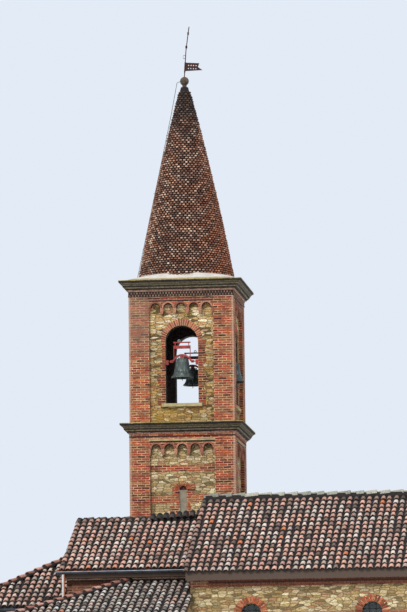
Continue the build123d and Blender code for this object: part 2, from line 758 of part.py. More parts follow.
def choir_roof():
    """Hipped roof plate of the choir, and the tiles on its three slopes."""
    half = PRESBYTERY_HALF + EAVE
    low = CHOIR_APEX - CHOIR_SLOPE * half
    start, end = CHOIR_START - EAVE, PRESBYTERY_START
    apex = (start + (CHOIR_APEX - low) / CHOIR_END_SLOPE, RIDGE_Y)
    plate = shell(choir_volume(), roof_drop(CHOIR_SLOPE))
    tiled = plate
    for sign in (-1, 1):
        edge = RIDGE_Y + sign * half
        plan = [(start, edge), (end, edge), (end, RIDGE_Y), apex]
        corner = (start, edge, low) if sign < 0 else (end, edge, low)
        tiled = tiled + tile_layer(corner, (-sign, 0, 0), (0, -sign, CHOIR_SLOPE), end - start, plan)
    plan = [(start, RIDGE_Y + half), (start, RIDGE_Y - half), apex]
    corner = (start, RIDGE_Y + half, low)
    return plate, tiled + tile_layer(corner, (0, -1, 0), (1, 0, CHOIR_END_SLOPE), 2 * half, plan)


def chapel_roof():
    """Lean-to roof plate of the side chapel, and the tiles on its two slopes."""
    wall = RIDGE_Y - PRESBYTERY_HALF
    reach = CHAPEL_REACH + CHAPEL_EAVE
    start, end, near = CHAPEL_START - CHAPEL_EAVE, NAVE_START, wall - reach
    low = CHAPEL_TOP - CHAPEL_SLOPE * reach
    side_low = CHAPEL_TOP - CHAPEL_SIDE_SLOPE * (CHAPEL_APEX_X - start)
    apex = (CHAPEL_APEX_X, wall)
    foot = (start, wall - (CHAPEL_TOP - side_low) / CHAPEL_SLOPE)
    plate = shell(chapel_volume(), roof_drop(CHAPEL_SLOPE))
    near_plan = [foot, (end, near), (end, wall), apex]
    side_plan = [(start, wall), foot, apex]
    tiled = plate + tile_layer((start, near, low), (1, 0, 0), (0, 1, CHAPEL_SLOPE), end - start, near_plan)
    return plate, tiled + tile_layer((start, wall, side_low), (0, -1, 0), (1, 0, CHAPEL_SIDE_SLOPE), reach, side_plan)


def chapel_volume():
    """Space under the lean-to roof of the side chapel, hipped at its left end."""
    wall = RIDGE_Y - PRESBYTERY_HALF
    reach = CHAPEL_REACH + CHAPEL_EAVE
    start = CHAPEL_START - CHAPEL_EAVE
    low = CHAPEL_TOP - CHAPEL_SLOPE * reach
    side_low = CHAPEL_TOP - CHAPEL_SIDE_SLOPE * (CHAPEL_APEX_X - start)
    floor = min(low, side_low) - 2 * roof_drop(CHAPEL_SLOPE)
    end, top = NAVE_START, CHAPEL_TOP
    across = prism_x([(wall - reach, floor), (wall, floor), (wall, top), (wall - reach, low)], start, end)
    lengthwise = prism_y(
        [(start, floor), (end, floor), (end, top), (CHAPEL_APEX_X, top), (start, side_low)],
        wall - reach,
        wall,
    )
    return across & lengthwise


def choir_trim():
    """Stretch of the choir's near eave where the chapel roof rises against its wall."""
    eave_under = CHOIR_APEX - CHOIR_SLOPE * (PRESBYTERY_HALF + EAVE) - roof_drop(CHOIR_SLOPE)
    left = CHAPEL_APEX_X - (CHAPEL_TOP + tile_lift(CHAPEL_SIDE_SLOPE) - eave_under) / CHAPEL_SIDE_SLOPE
    wall = RIDGE_Y - PRESBYTERY_HALF
    return left, block(left, FAR, -FAR, wall, 0, FAR)


def choir_walls():
    """Walls of the choir on three sides, up to the underside of the hipped roof."""
    y0, y1 = RIDGE_Y - PRESBYTERY_HALF, RIDGE_Y + PRESBYTERY_HALF
    ring = block(CHOIR_START, PRESBYTERY_START, y0, y1, 0, CHOIR_APEX) - block(
        CHOIR_START + CHURCH_WALL, FAR, y0 + CHURCH_WALL, y1 - CHURCH_WALL, -1, FAR
    )
    under = Pos(0, 0, -roof_drop(CHOIR_SLOPE)) * choir_volume()
    low = under.bounding_box().min.Z
    space = under + block(CHOIR_START - EAVE, PRESBYTERY_START, y0 - EAVE, y1 + EAVE, -1, low)
    x = -CHOIR_START
    hole = arched_hole(WINDOW_WIDTH, CHOIR_WINDOW_SILL, CHOIR_WINDOW_SPRINGING, x - CHURCH_WALL, x)
    return (ring & space) - along_x(hole, RIDGE_Y)


def chapel_walls():
    """Near, left and right walls of the side chapel under the lean-to roof."""
    wall = RIDGE_Y - PRESBYTERY_HALF
    near = wall - CHAPEL_REACH
    outer = block(CHAPEL_START, NAVE_START, near, wall, 0, CHAPEL_TOP)
    inner = block(CHAPEL_START + CHAPEL_WALL, NAVE_START - CHAPEL_WALL, near + CHAPEL_WALL, FAR, -1, FAR)
    beside = block(NAVE_START - CHAPEL_WALL, FAR, RIDGE_Y - NAVE_HALF + CHURCH_WALL / 2, FAR, -1, FAR)
    under = Pos(0, 0, -roof_drop(CHAPEL_SLOPE)) * chapel_volume()
    low = under.bounding_box().min.Z
    space = under + block(-FAR, NAVE_START, near - CHAPEL_EAVE, wall, -1, low)
    middle = (CHAPEL_START + NAVE_START) / 2
    window = window_hole(middle, near, near + CHAPEL_WALL, CHAPEL_WINDOW_SILL, CHAPEL_WINDOW_SPRINGING)
    return ((outer - inner - beside) & space) - window


def presbytery_walls():
    """Near wall with the chapel arch, and far wall with the door to the tower."""
    x0, x1 = PRESBYTERY_START + CHURCH_WALL, NAVE_START
    near = side_wall(-1, PRESBYTERY, x0, x1)
    far = side_wall(1, PRESBYTERY, x0, x1)
    y0 = RIDGE_Y - PRESBYTERY_HALF
    arch = arched_hole(CHAPEL_ARCH_WIDTH, 0, CHAPEL_ARCH_SPRINGING, y0, y0 + CHURCH_WALL)
    half = TOWER_DOOR_WIDTH / 2
    way = block(-half, half, -SHAFT_HALF - CHURCH_WALL, -SHAFT_HALF, 0, TOWER_DOOR_HEIGHT)
    return [near - Pos((x0 + x1) / 2, 0, 0) * arch, far - way]


def presbytery_gable():
    """Gable wall between presbytery and choir, with a wide arch."""
    x1 = PRESBYTERY_START + CHURCH_WALL
    wall = gable_wall(PRESBYTERY, PRESBYTERY_START, x1)
    hole = arched_hole(CHOIR_ARCH_WIDTH, 0, CHOIR_ARCH_SPRINGING, -x1, -PRESBYTERY_START)
    return wall - along_x(hole, RIDGE_Y)


def tower_base():
    """Plain base of the tower with the doorway from the presbytery."""
    inner = SHAFT_HALF - SHAFT_WALL
    tube = block(-SHAFT_HALF, SHAFT_HALF, -SHAFT_HALF, SHAFT_HALF, 0, BASE_TOP)
    room = block(-inner, inner, -inner, inner, 0, BASE_TOP)
    half = TOWER_DOOR_WIDTH / 2
    way = block(-half, half, -SHAFT_HALF, -inner, 0, TOWER_DOOR_HEIGHT)
    return tube - room - way


def eaves_cornice(sign, roof, x0, x1):
    """Brick courses stepping out under an eave."""
    half, ridge, slope = roof
    wall = RIDGE_Y + sign * half
    top = ridge - slope * half - roof_drop(slope)
    steps = [(wall, top - COURSES * COURSE)]
    for i in range(COURSES - 1):
        out = COURSE_STEP * (i + 1)
        steps.append((wall + sign * out, top - (COURSES - i) * COURSE))
        steps.append((wall + sign * out, top - (COURSES - i - 1) * COURSE))
    steps[-1] = (wall + sign * out, top - slope * out)
    return prism_x(steps + [(wall, top)], x0, x1)


def gutter(sign, roof, x0, x1):
    """Half-round channel hung on an eave."""
    half, ridge, slope = roof
    edge = RIDGE_Y + sign * (half + EAVE)
    top = ridge - slope * (half + EAVE) - GUTTER_RADIUS / 2
    centre = edge + sign * GUTTER_RADIUS
    round_bar = bar((x0, centre, top), (x1, centre, top), GUTTER_RADIUS, GUTTER_SIDES)
    hollow = (x0 + GUTTER_WALL, centre, top), (x1 - GUTTER_WALL, centre, top)
    bowl = round_bar - bar(*hollow, GUTTER_RADIUS - GUTTER_WALL, GUTTER_SIDES)
    bowl = bowl & block(x0, x1, centre - GUTTER_RADIUS, centre + GUTTER_RADIUS, top - GUTTER_RADIUS, top)
    back = sorted((edge, edge + sign * GUTTER_WALL))
    return bowl + block(x0, x1, *back, top - 0.4 * GUTTER_RADIUS, top + 0.3 * GUTTER_RADIUS)


def downpipe():
    """Short pipe from the presbytery's near gutter onto the choir roof."""
    x = PRESBYTERY_START - VERGE / 2
    y = RIDGE_Y - PRESBYTERY_HALF - EAVE - GUTTER_RADIUS
    top = PRESBYTERY_RIDGE - PRESBYTERY_SLOPE * (PRESBYTERY_HALF + EAVE) - 1.5 * GUTTER_RADIUS
    return bar((x, y, top - PIPE_LENGTH), (x, y, top), PIPE_RADIUS, PIPE_SIDES)


def tile_lift(slope):
    """Height of the tiles' crowns over a roof plate, measured upright."""
    return TILE_RISE * hypot(1, slope)


def cap(start, end, plate, slope, beside=None):
    """Half-round tiles along a ridge or hip, seated on the crowns of the covers and ending at the roof's edges."""
    box = plate.bounding_box()
    rise = Pos(0, 0, tile_lift(slope))
    tiles = rise * bar(start, end, CAP_RADIUS, CAP_SIDES)
    tiles = tiles & block(box.min.X, box.max.X, box.min.Y, box.max.Y, 0, FAR)
    tiles = tiles - rise * plate
    if beside:
        tiles = tiles - beside
    return tiles.solids().sort_by(Axis.Z)[-1]


def write(name, *solids):
    """Write one sub-part as a STEP file of its solids."""
    found = [solid for shape in solids for solid in shape.solids()]
    export_step(found[0] if len(found) == 1 else Compound(children=found), f"parts/{name}.step")


def build_tower():
    """Write the tower from its floor to the mortar under the spire."""
    inner = SHAFT_HALF - SHAFT_WALL
    write("tower_floor", block(-inner, inner, -inner, inner, 0, SLAB))
    write("tower_base", tower_base())

    shaft_top = MID_CORNICE_TOP - CORNICE_HEIGHT
    piers, panel = tower_stage(SHAFT_HALF, SHAFT_WALL, BASE_TOP, shaft_top)
    back = -SHAFT_HALF + PANEL_RECESS
    slit_top = MID_CORNICE_TOP - SLIT_DROP
    slit = arched_hole(SLIT_WIDTH, slit_top - SLIT_HEIGHT, slit_top - SLIT_WIDTH / 2, back, back + SLIT_DEPTH)
    write("shaft_piers", *piers)
    write("shaft_panels", *four_sides(panel - slit))
    springing = shaft_top - SHAFT_SPRINGING_DROP + CORBEL_LENGTH / 2
    write("shaft_arcade", *four_sides(arcade(SHAFT_HALF, shaft_top, springing)))

    stair_hole = block(-inner, inner, -inner, inner, 0, FAR)
    write("mid_cornice", cornice(MID_CORNICE_TOP, BELFRY_HALF) - stair_hole)
    write("belfry_floor", block(-inner, inner, -inner, inner, MID_CORNICE_TOP - SLAB, MID_CORNICE_TOP))

    belfry_top = TOP_CORNICE_TOP - CORNICE_HEIGHT
    write("belfry_piers", *tower_stage(BELFRY_HALF, BELFRY_WALL, MID_CORNICE_TOP, belfry_top)[0])
    for name, wall in zip(("front", "right", "back", "left"), four_sides(belfry_wall())):
        write(f"belfry_wall_{name}", wall)
    write("belfry_arcade", *four_sides(arcade(BELFRY_HALF, belfry_top, belfry_top - BELFRY_SPRINGING_DROP)))
    write("belfry_archivolts", *four_sides(archivolt()))
    write("belfry_sills", *four_sides(belfry_sill()))

    inner = SPIRE_BASE_RADIUS - SPIRE_WALL
    eye = rings([(inner, TOP_CORNICE_TOP - 2 * CORNICE_HEIGHT), (inner, TOP_CORNICE_TOP + 1)], SPIRE_SIDES // 2)
    write("top_cornice", cornice(TOP_CORNICE_TOP, BELFRY_HALF) - eye)
    cone = spire()
    write("spire", cone)
    write("apron", apron(cone))
    write("ball", finial())
    write("spindle", spindle())
    write("vane", vane())
    write("conductor", conductor(cone))


def build_bells():
    """Write the three bells with their headstocks, clappers and bearings."""
    pads = []
    for name, turn, share in (("front", 0, 1.0), ("right", 1, 1.0), ("back", 2, BACK_BELL_SHARE)):
        write(f"bell_{name}", hung(turn, bell(share)))
        write(f"headstock_{name}", hung(turn, headstock()))
        write(f"clapper_{name}", hung(turn, clapper(share)))
        pads += [hung(turn, pad) for pad in bearings()]
    write("bell_bearings", *pads)


def build_church():
    """Write the nave, presbytery, choir and side chapel."""
    write("nave_wall_near", nave_side(-1))
    write("nave_wall_far", nave_side(1))
    write("facade", facade())
    write("nave_end_wall", nave_end_wall())
    write("door", door())

    inside = NAVE_START + CHURCH_WALL, NAVE_END - CHURCH_WALL
    half = NAVE_HALF - CHURCH_WALL
    write("nave_floor", block(*inside, RIDGE_Y - half, RIDGE_Y + half, 0, SLAB))

    span = NAVE_START - VERGE, NAVE_END + VERGE
    nave = shell(gable_volume(*span, NAVE), roof_drop(NAVE_SLOPE))
    for name, sign in (("near", -1), ("far", 1)):
        write(f"nave_roof_{name}", (nave & half_space(sign)) + saddle_tiles(sign, NAVE, *span) - tower_space())

    write("presbytery_walls", *presbytery_walls())
    write("presbytery_gable", presbytery_gable())
    span = PRESBYTERY_START - VERGE, NAVE_START
    hall = shell(gable_volume(*span, PRESBYTERY), roof_drop(PRESBYTERY_SLOPE))
    for name, sign in (("near", -1), ("far", 1)):
        tiled = (hall & half_space(sign)) + saddle_tiles(sign, PRESBYTERY, *span)
        write(f"presbytery_roof_{name}", tiled - tower_space())

    write("choir_walls", choir_walls())
    trim_x, trim = choir_trim()
    choir, choir_tiled = choir_roof()
    write("choir_roof", choir_tiled - trim)
    half = PRESBYTERY_HALF - CHURCH_WALL
    across = RIDGE_Y - half, RIDGE_Y + half
    write(
        "chancel_floor",
        block(CHOIR_START + CHURCH_WALL, PRESBYTERY_START, *across, 0, SLAB),
        block(PRESBYTERY_START + CHURCH_WALL, NAVE_START, *across, 0, SLAB),
    )

    chapel, chapel_tiled = chapel_roof()
    write("chapel_walls", chapel_walls())
    write("chapel_roof", chapel_tiled)
    wall = RIDGE_Y - PRESBYTERY_HALF
    near = wall - CHAPEL_REACH + CHAPEL_WALL
    write("chapel_floor", block(CHAPEL_START + CHAPEL_WALL, NAVE_START - CHAPEL_WALL, near, wall, 0, SLAB))
    build_trim(nave, choir, chapel, trim_x)
    build_glass()


def build_trim(nave, choir, chapel, trim_x):
    """Write ridge and hip tiles, eaves cornices, gutters and the downpipe."""
    half = PRESBYTERY_HALF + EAVE
    low = CHOIR_APEX - CHOIR_SLOPE * half
    start = CHOIR_START - EAVE
    apex = (start + (CHOIR_APEX - low) / CHOIR_END_SLOPE, RIDGE_Y, CHOIR_APEX)
    wall = RIDGE_Y - PRESBYTERY_HALF
    chapel_start = CHAPEL_START - CHAPEL_EAVE
    chapel_low = CHAPEL_TOP - CHAPEL_SIDE_SLOPE * (CHAPEL_APEX_X - chapel_start)
    chapel_foot = (chapel_start, wall - (CHAPEL_TOP - chapel_low) / CHAPEL_SLOPE, chapel_low)
    nave_run = NAVE_START + CHURCH_WALL, NAVE_END - CHURCH_WALL
    near_courses = eaves_cornice(-1, PRESBYTERY, PRESBYTERY_START, NAVE_START)
    near_courses = near_courses - Pos(0, 0, tile_lift(CHAPEL_SIDE_SLOPE)) * chapel
    write(
        "eaves_cornices",
        eaves_cornice(-1, NAVE, *nave_run),
        eaves_cornice(1, NAVE, *nave_run),
        near_courses,
        eaves_cornice(1, PRESBYTERY, PRESBYTERY_START, -SHAFT_HALF),
    )
    write(
        "ridge_tiles",
        cap((NAVE_START - VERGE, RIDGE_Y, NAVE_RIDGE), (NAVE_END + VERGE, RIDGE_Y, NAVE_RIDGE), nave, NAVE_SLOPE),
        cap(apex, (start, RIDGE_Y - half, low), choir, CHOIR_END_SLOPE),
        cap(apex, (start, RIDGE_Y + half, low), choir, CHOIR_END_SLOPE),
        cap((CHAPEL_APEX_X, wall, CHAPEL_TOP), chapel_foot, chapel, CHAPEL_SIDE_SLOPE, near_courses),
    )
    write(
        "gutters",
        gutter(-1, PRESBYTERY, PRESBYTERY_START - VERGE - GUTTER_PAST, NAVE_START - VERGE),
        gutter(-1, CHOIR, CHOIR_START - EAVE, trim_x),
    )
    write("downpipe", downpipe())


def build_glass():
    """Write the panes that close the windows."""
    panes = []
    for sign in (-1, 1):
        middle = RIDGE_Y + sign * (NAVE_HALF - CHURCH_WALL / 2)
        panes += [window_hole(x, middle - GLASS / 2, middle + GLASS / 2) for x in window_places()]
    x = NAVE_END - CHURCH_WALL / 2
    panes.append(oculus(x - GLASS / 2, x + GLASS / 2))
    x = -CHOIR_START - CHURCH_WALL / 2
    hole = arched_hole(WINDOW_WIDTH, CHOIR_WINDOW_SILL, CHOIR_WINDOW_SPRINGING, x - GLASS / 2, x + GLASS / 2)
    panes.append(along_x(hole, RIDGE_Y))
    y = RIDGE_Y - PRESBYTERY_HALF - CHAPEL_REACH + CHAPEL_WALL / 2
    middle = (CHAPEL_START + NAVE_START) / 2
    heights = CHAPEL_WINDOW_SILL, CHAPEL_WINDOW_SPRINGING
    panes.append(window_hole(middle, y - GLASS / 2, y + GLASS / 2, *heights))
    write("window_glass", *panes)


os.makedirs("parts", exist_ok=True)
build_tower()
build_bells()
build_church()
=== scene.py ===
import logging
import math
import random
from collections.abc import Callable, Iterator, Sequence
from dataclasses import dataclass
from enum import Enum
from functools import partial

import bmesh
import bpy
from mathutils import Euler, Matrix, Vector


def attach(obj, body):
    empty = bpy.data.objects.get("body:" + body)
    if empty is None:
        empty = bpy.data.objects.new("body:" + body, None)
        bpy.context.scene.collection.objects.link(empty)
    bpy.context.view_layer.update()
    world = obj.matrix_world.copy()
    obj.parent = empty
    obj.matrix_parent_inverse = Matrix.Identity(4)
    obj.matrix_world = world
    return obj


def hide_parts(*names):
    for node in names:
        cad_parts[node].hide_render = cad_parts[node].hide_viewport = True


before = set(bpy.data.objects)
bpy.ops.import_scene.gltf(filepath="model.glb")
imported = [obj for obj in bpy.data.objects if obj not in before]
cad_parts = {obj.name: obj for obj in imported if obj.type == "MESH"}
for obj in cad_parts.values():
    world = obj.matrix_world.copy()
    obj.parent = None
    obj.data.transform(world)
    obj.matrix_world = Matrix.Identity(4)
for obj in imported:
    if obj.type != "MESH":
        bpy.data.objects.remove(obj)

log = logging.getLogger("church")

Piece = bpy.types.Object
Point = Sequence[float]
Socket = bpy.types.NodeSocket
Adder = Callable[..., Socket]
Pattern = tuple[Socket, Socket, float]
Steps = Sequence[tuple[float, str]]

# Places and sizes that the solids already have, in metres
RIDGE_Y = -5.43
NAVE_RUN = 5.6
NAVE_PITCH = 0.47
PRESBYTERY_RUN = 4.05
BELFRY_HALF = 1.665
SHAFT_HALF = 1.68
PIER = 0.65
RECESS = 0.12
TOP_CORNICE = 14.9
MID_CORNICE = 10.37
CORNICE_HEIGHT = 0.35
OPENING_HALF = 0.52
SPRINGING = 12.95
SLIT_SPRINGING = 8.27
COURSE = 0.076


class Body(Enum):
    """The moving parts that pieces ride on."""

    MASONRY = "masonry"
    SWING_FRONT = "swing_front"
    SWING_RIGHT = "swing_right"
    SWING_BACK = "swing_back"


class Side(Enum):
    """The faces of the tower, as quarter turns from the front."""

    FRONT = 0
    RIGHT = 1
    BACK = 2
    LEFT = 3

    @property
    def yaw(self) -> float:
        """Angle from the front face to this one."""
        return math.pi / 2 * self.value

    @property
    def turn(self) -> tuple[float, float, float]:
        """Rotation that a piece made for the front face has on this one."""
        return 0.0, 0.0, self.yaw

    def turned(self, point: Point) -> Vector:
        """Carry a point of the front face round to this face."""
        return Matrix.Rotation(self.yaw, 3, "Z") @ Vector(point)

    def leant(self, angle: float, axis: str = "Y") -> Euler:
        """Rotation of a piece that leans by an angle in the front face, carried round to this face."""
        return (Matrix.Rotation(self.yaw, 3, "Z") @ Matrix.Rotation(angle, 3, axis)).to_euler()


class Way(Enum):
    """The directions that faces look in."""

    FRONT = (0, -1, 0)
    RIGHT = (1, 0, 0)
    UP = (0, 0, 1)
    DOWN = (0, 0, -1)


def linear(code: str) -> tuple[float, float, float, float]:
    """Turn an sRGB hex value to the linear colour that a shader takes.

    Args:
        code: Six hex digits.

    Returns:
        Red, green, blue and an alpha of 1.
    """
    parts = [int(code[i : i + 2], 16) / 255 for i in (0, 2, 4)]
    red, green, blue = (p / 12.92 if p <= 0.04045 else ((p + 0.055) / 1.055) ** 2.4 for p in parts)
    return red, green, blue, 1.0


def add_node(
    tree: bpy.types.NodeTree, kind: str, *values: object, out: int | str = 0, stops: Steps = (), **settings: object
) -> Socket:
    """Add a node with its settings, and link or set its sockets.

    Args:
        tree: Node tree to add to.
        kind: Node type without its "ShaderNode" prefix, with its operation behind it.
        values: For the first sockets in order: another node's output, a plain value, or the hex value of a colour.
        out: Name or number of the output that is given back.
        stops: Places and hex values of a colour ramp.
        settings: The node's properties, and more sockets by their names, which start with a capital.

    Returns:
        The chosen output, whose node has the others.
    """
    kind, _, operation = kind.partition(" ")
    node = tree.nodes.new(kind if kind.startswith("GeometryNode") else "ShaderNode" + kind)
    if operation:
        node.operation = operation
    for i, (place, code) in enumerate(stops):
        stop = node.color_ramp.elements[i] if i < 2 else node.color_ramp.elements.new(place)
        stop.position, stop.color = place, linear(code)
    sockets = dict(enumerate(values))
    for name, value in settings.items():
        if name[0].isupper():
            sockets[name.replace("_", " ")] = value
        else:
            setattr(node, name, value)
    for name, value in sockets.items():
        socket = node.inputs[name]
        if isinstance(value, Socket):
            tree.links.new(value, socket)
        else:
            socket.default_value = linear(value) if socket.type == "RGBA" and isinstance(value, str) else value
    return node.outputs[out]


def wall_plane(add: Adder) -> tuple[Socket, Socket, Socket]:
    """Lay a pattern out in metres along each upright wall.

    Args:
        add: Adds a node to the material.

    Returns:
        The distance along the wall, the height, and the two as one vector.
    """
    coords = add("TexCoord", out="Object")
    x, y, up = add("SeparateXYZ", coords).node.outputs
    facing = add("Math ABSOLUTE", add("SeparateXYZ", coords.node.outputs["Normal"]))
    sideways = add("Math GREATER_THAN", facing, 0.7)
    along = add("Mix", sideways, A=x, B=y)
    return along, up, add("CombineXYZ", along, up, 0.0)


def dusted(add: Adder, colour: Socket, grain: Socket, *spread: float) -> Socket:
    """Darken and lighten a colour by its grain.

    Args:
        add: Adds a node to the material.
        colour: The colour.
        grain: The grain.
        spread: Lowest and highest grain, and the strength that the colour has at each.

    Returns:
        The colour with its grain.
    """
    return add("MixRGB", 1.0, colour, add("MapRange", grain, *spread), blend_type="MULTIPLY")


@dataclass(frozen=True)
class Finish:
    """One finish of the church: its name, the slot it belongs to and its gloss."""

    name: str
    slot: str
    roughness: float = 0.9
    metallic: float = 0.0
    transmission: float = 0.0

    def colour(self, add: Adder) -> Pattern:
        """Build the pattern.

        Args:
            add: Adds a node to the material.

        Returns:
            The colour, the height for the bump and the bump's depth in metres.
        """
        raise NotImplementedError

    def material(self) -> bpy.types.Material:
        """Make the material on first use, and give the same one afterwards.

        Returns:
            The material of this finish.
        """
        found = bpy.data.materials.get(self.name)
        if found:
            return found
        made = bpy.data.materials.new(self.name)
        made.use_nodes = True
        tree = made.node_tree
        shader = tree.nodes["Principled BSDF"]
        shader.inputs["Roughness"].default_value = self.roughness
        shader.inputs["Metallic"].default_value = self.metallic
        shader.inputs["Transmission Weight"].default_value = self.transmission
        add = partial(add_node, tree)
        colour, height, depth = self.colour(add)
        tree.links.new(colour, shader.inputs["Base Color"])
        bump = add("Bump", Height=height, Distance=depth, Strength=1.0)
        tree.links.new(bump, shader.inputs["Normal"])
        return made

    def dress(self, piece: Piece, body: Body = Body.MASONRY) -> Piece:
        """Give a new piece this finish and the body it rides on.

        Args:
            piece: The finished mesh object.
            body: The body that carries it.

        Returns:
            The same piece.
        """
        piece.data.materials.clear()
        piece.data.materials.append(self.material())
        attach(piece, body.value)
        log.info("%s: %d faces, %s", piece.name, len(piece.data.polygons), self.name)
        return piece


@dataclass(frozen=True)
class Masonry(Finish):
    """Hand-made bricks laid in lime mortar, or split sandstone rubble with brick jambs and bands."""

    stone: bool = False
    bands: tuple[tuple[float, float], ...] = ()
    jamb: tuple[float, float, float] | None = None
    bricks: tuple[str, ...] = ("3e1c14", "8e3720", "b04a27", "974a31", "bd572a", "7a321f", "cc7641")
    joint: str = "dcb98c"
    stones: tuple[str, ...] = ("6e5833", "c79c56", "e9d6a2", "b98d55", "dcbb7a", "8c7946", "f3e6bd", "b98460")
    gap: str = "735c3c"
    soot: float = 0.35
    quoins: tuple[tuple[float, ...], tuple[float, ...]] | None = None
    damp: tuple[float, float] | None = None
    cells: tuple[float, float, float] = (4.4, 12.5, 1.0)
    shade_inside: float = 0.0
    grey_left: float = 0.0
    bloom_up: tuple[float, float] = (12.2, 13.2)
    bloom_left: tuple[float, float] = (-0.8, -1.1)
    panel_face: float = 1.54
    lit_arris: float = 0.0
    lichen: tuple[float, float] | None = None

    def brick_pattern(self, add: Adder, flat: Socket) -> tuple[Socket, Socket]:
        """Courses of 76 mm with bricks 260 mm long; the 12 mm joints are drawn 24 mm wide so that they show.

        Args:
            add: Adds a node to the material.
            flat: Place on the wall in metres.

        Returns:
            The colour and the joints, 1 in the mortar.
        """
        offset = add("TexNoise", flat, out="Color", Scale=7.0, Detail=2.0)
        offset = add("VectorMath SUBTRACT", offset, (0.5, 0.5, 0.5))
        offset = add("VectorMath MULTIPLY", offset, (0.03, 0.018, 0.0))
        laid = add(
            "TexBrick",
            add("VectorMath", flat, offset),
            Color1="000000",
            Color2="ffffff",
            Mortar=(0.5, 0.5, 0.5, 1),
            Scale=1.0,
            Mortar_Size=0.012,
            Mortar_Smooth=0.15,
            Brick_Width=0.26,
            Row_Height=COURSE,
        )
        joint = laid.node.outputs["Fac"]
        clay = add("ValToRGB", laid, stops=[(i / (len(self.bricks) - 1), code) for i, code in enumerate(self.bricks)])
        wear_and_lit_edge = add("MapRange", add("TexNoise", flat, Scale=2.6, Detail=5.0, Roughness=0.7), 0.4, 0.62)
        pointing = add("MixRGB", wear_and_lit_edge, self.joint, "8a6c54")
        return add("MixRGB", joint, clay, pointing), joint

    def stone_pattern(self, add: Adder, flat: Socket) -> tuple[Socket, Socket]:
        """Stones about 230 by 80 mm, laid in rough courses.

        Args:
            add: Adds a node to the material.
            flat: Place on the wall in metres.

        Returns:
            The colour and the joints, 1 in the mortar.
        """
        offset = add("TexNoise", flat, out="Color", Scale=3.0, Detail=2.0)
        moved = add("VectorMath", flat, add("VectorMath MULTIPLY", offset, (0.24, 0.05, 0.0)))
        laid = add("VectorMath MULTIPLY", moved, self.cells)
        cells = partial(add, "TexVoronoi", laid, Scale=1.0, Randomness=0.85, voronoi_dimensions="2D")
        chance = add("SeparateColor", cells(out="Color"))
        shares = [((i + 0.5) / len(self.stones), code) for i, code in enumerate(self.stones)]
        split = add("VectorMath MULTIPLY", moved, (14.0, 60.0, 1.0))
        split = add("TexNoise", split, Scale=1.0, Detail=4.0, Roughness=0.7)
        face = dusted(add, add("ValToRGB", chance, stops=shares), split, 0.36, 0.64, 0.6, 1.36)
        joint = add("MapRange", cells(feature="DISTANCE_TO_EDGE", out="Distance"), 0.08, 0.02, 0.0, 0.95)
        return add("MixRGB", joint, face, self.gap), joint

    def between(self, add: Adder, value: Socket, low: float, high: float) -> Socket:
        """Mark where a value lies between two limits.

        Args:
            add: Adds a node to the material.
            value: The value.
            low: Lower limit.
            high: Upper limit.

        Returns:
            1 between the limits and 0 elsewhere.
        """
        above = add("Math GREATER_THAN", value, low)
        return add("Math MULTIPLY", above, add("Math LESS_THAN", value, high))

    def brick_share(self, add: Adder, along: Socket, up: Socket) -> Socket:
        """Where brick takes the place of rubble: level bands, and jambs and corners toothed every third course.

        Args:
            add: Adds a node to the material.
            along: Distance along the wall.
            up: Height.

        Returns:
            1 where the wall is brick.
        """
        shares = [self.between(add, up, low, high) for low, high in self.bands]
        tooth = add("Math SNAP", up, 3 * COURSE)
        if self.quoins:
            chance = add("TexWhiteNoise", W=tooth, noise_dimensions="1D")
            reach = add("Math MULTIPLY_ADD", chance, 0.22, 0.3)
            facing = add("Math ABSOLUTE", add("SeparateXYZ", add("TexCoord", out="Normal")))
            for places, sideways in zip(self.quoins, ("LESS_THAN", "GREATER_THAN")):
                turned = add(f"Math {sideways}", facing, 0.7)
                for corner in places:
                    off = add("Math ABSOLUTE", add("Math SUBTRACT", along, corner))
                    near = add("Math LESS_THAN", off, reach)
                    shares.append(add("Math MULTIPLY", near, turned))
        if self.jamb:
            half, low, high = self.jamb
            key = add("CombineXYZ", tooth, add("Math SIGN", along))
            chance = add("TexWhiteNoise", key, noise_dimensions="2D")
            reach = add("Math MULTIPLY_ADD", chance, 0.24, half + 0.09)
            near = add("Math LESS_THAN", add("Math ABSOLUTE", along), reach)
            shares.append(add("Math MULTIPLY", near, self.between(add, up, low, high)))
        share = shares[0]
        for other in shares[1:]:
            share = add("Math MAXIMUM", share, other)
        return share

    def reveals(self, add: Adder, facing: Sequence[Socket], across: Socket, away: Socket, widest: Socket) -> Socket:
        """Where the sides and heads of the tower's openings lie behind its face.

        Args:
            add: Adds a node to the material.
            facing: The three parts of the normal.
            across: Distance from the middle of the tower along X.
            away: Distance from the middle of the tower along Y.
            widest: The larger of the two.

        Returns:
            How dark the light falls off there.
        """
        sideways = add("Math GREATER_THAN", add("Math ABSOLUTE", facing[0]), 0.7)
        outer = add("Math GREATER_THAN", across, away)
        jambs = add("Math SUBTRACT", 1.0, add("Math COMPARE", sideways, outer, 0.1))
        heads = add("Math LESS_THAN", facing[2], -0.3)
        both = add("Math MAXIMUM", jambs, heads)
        behind = add("Math LESS_THAN", widest, self.panel_face)
        return add("Math MULTIPLY", add("Math MULTIPLY", both, behind), 0.82)

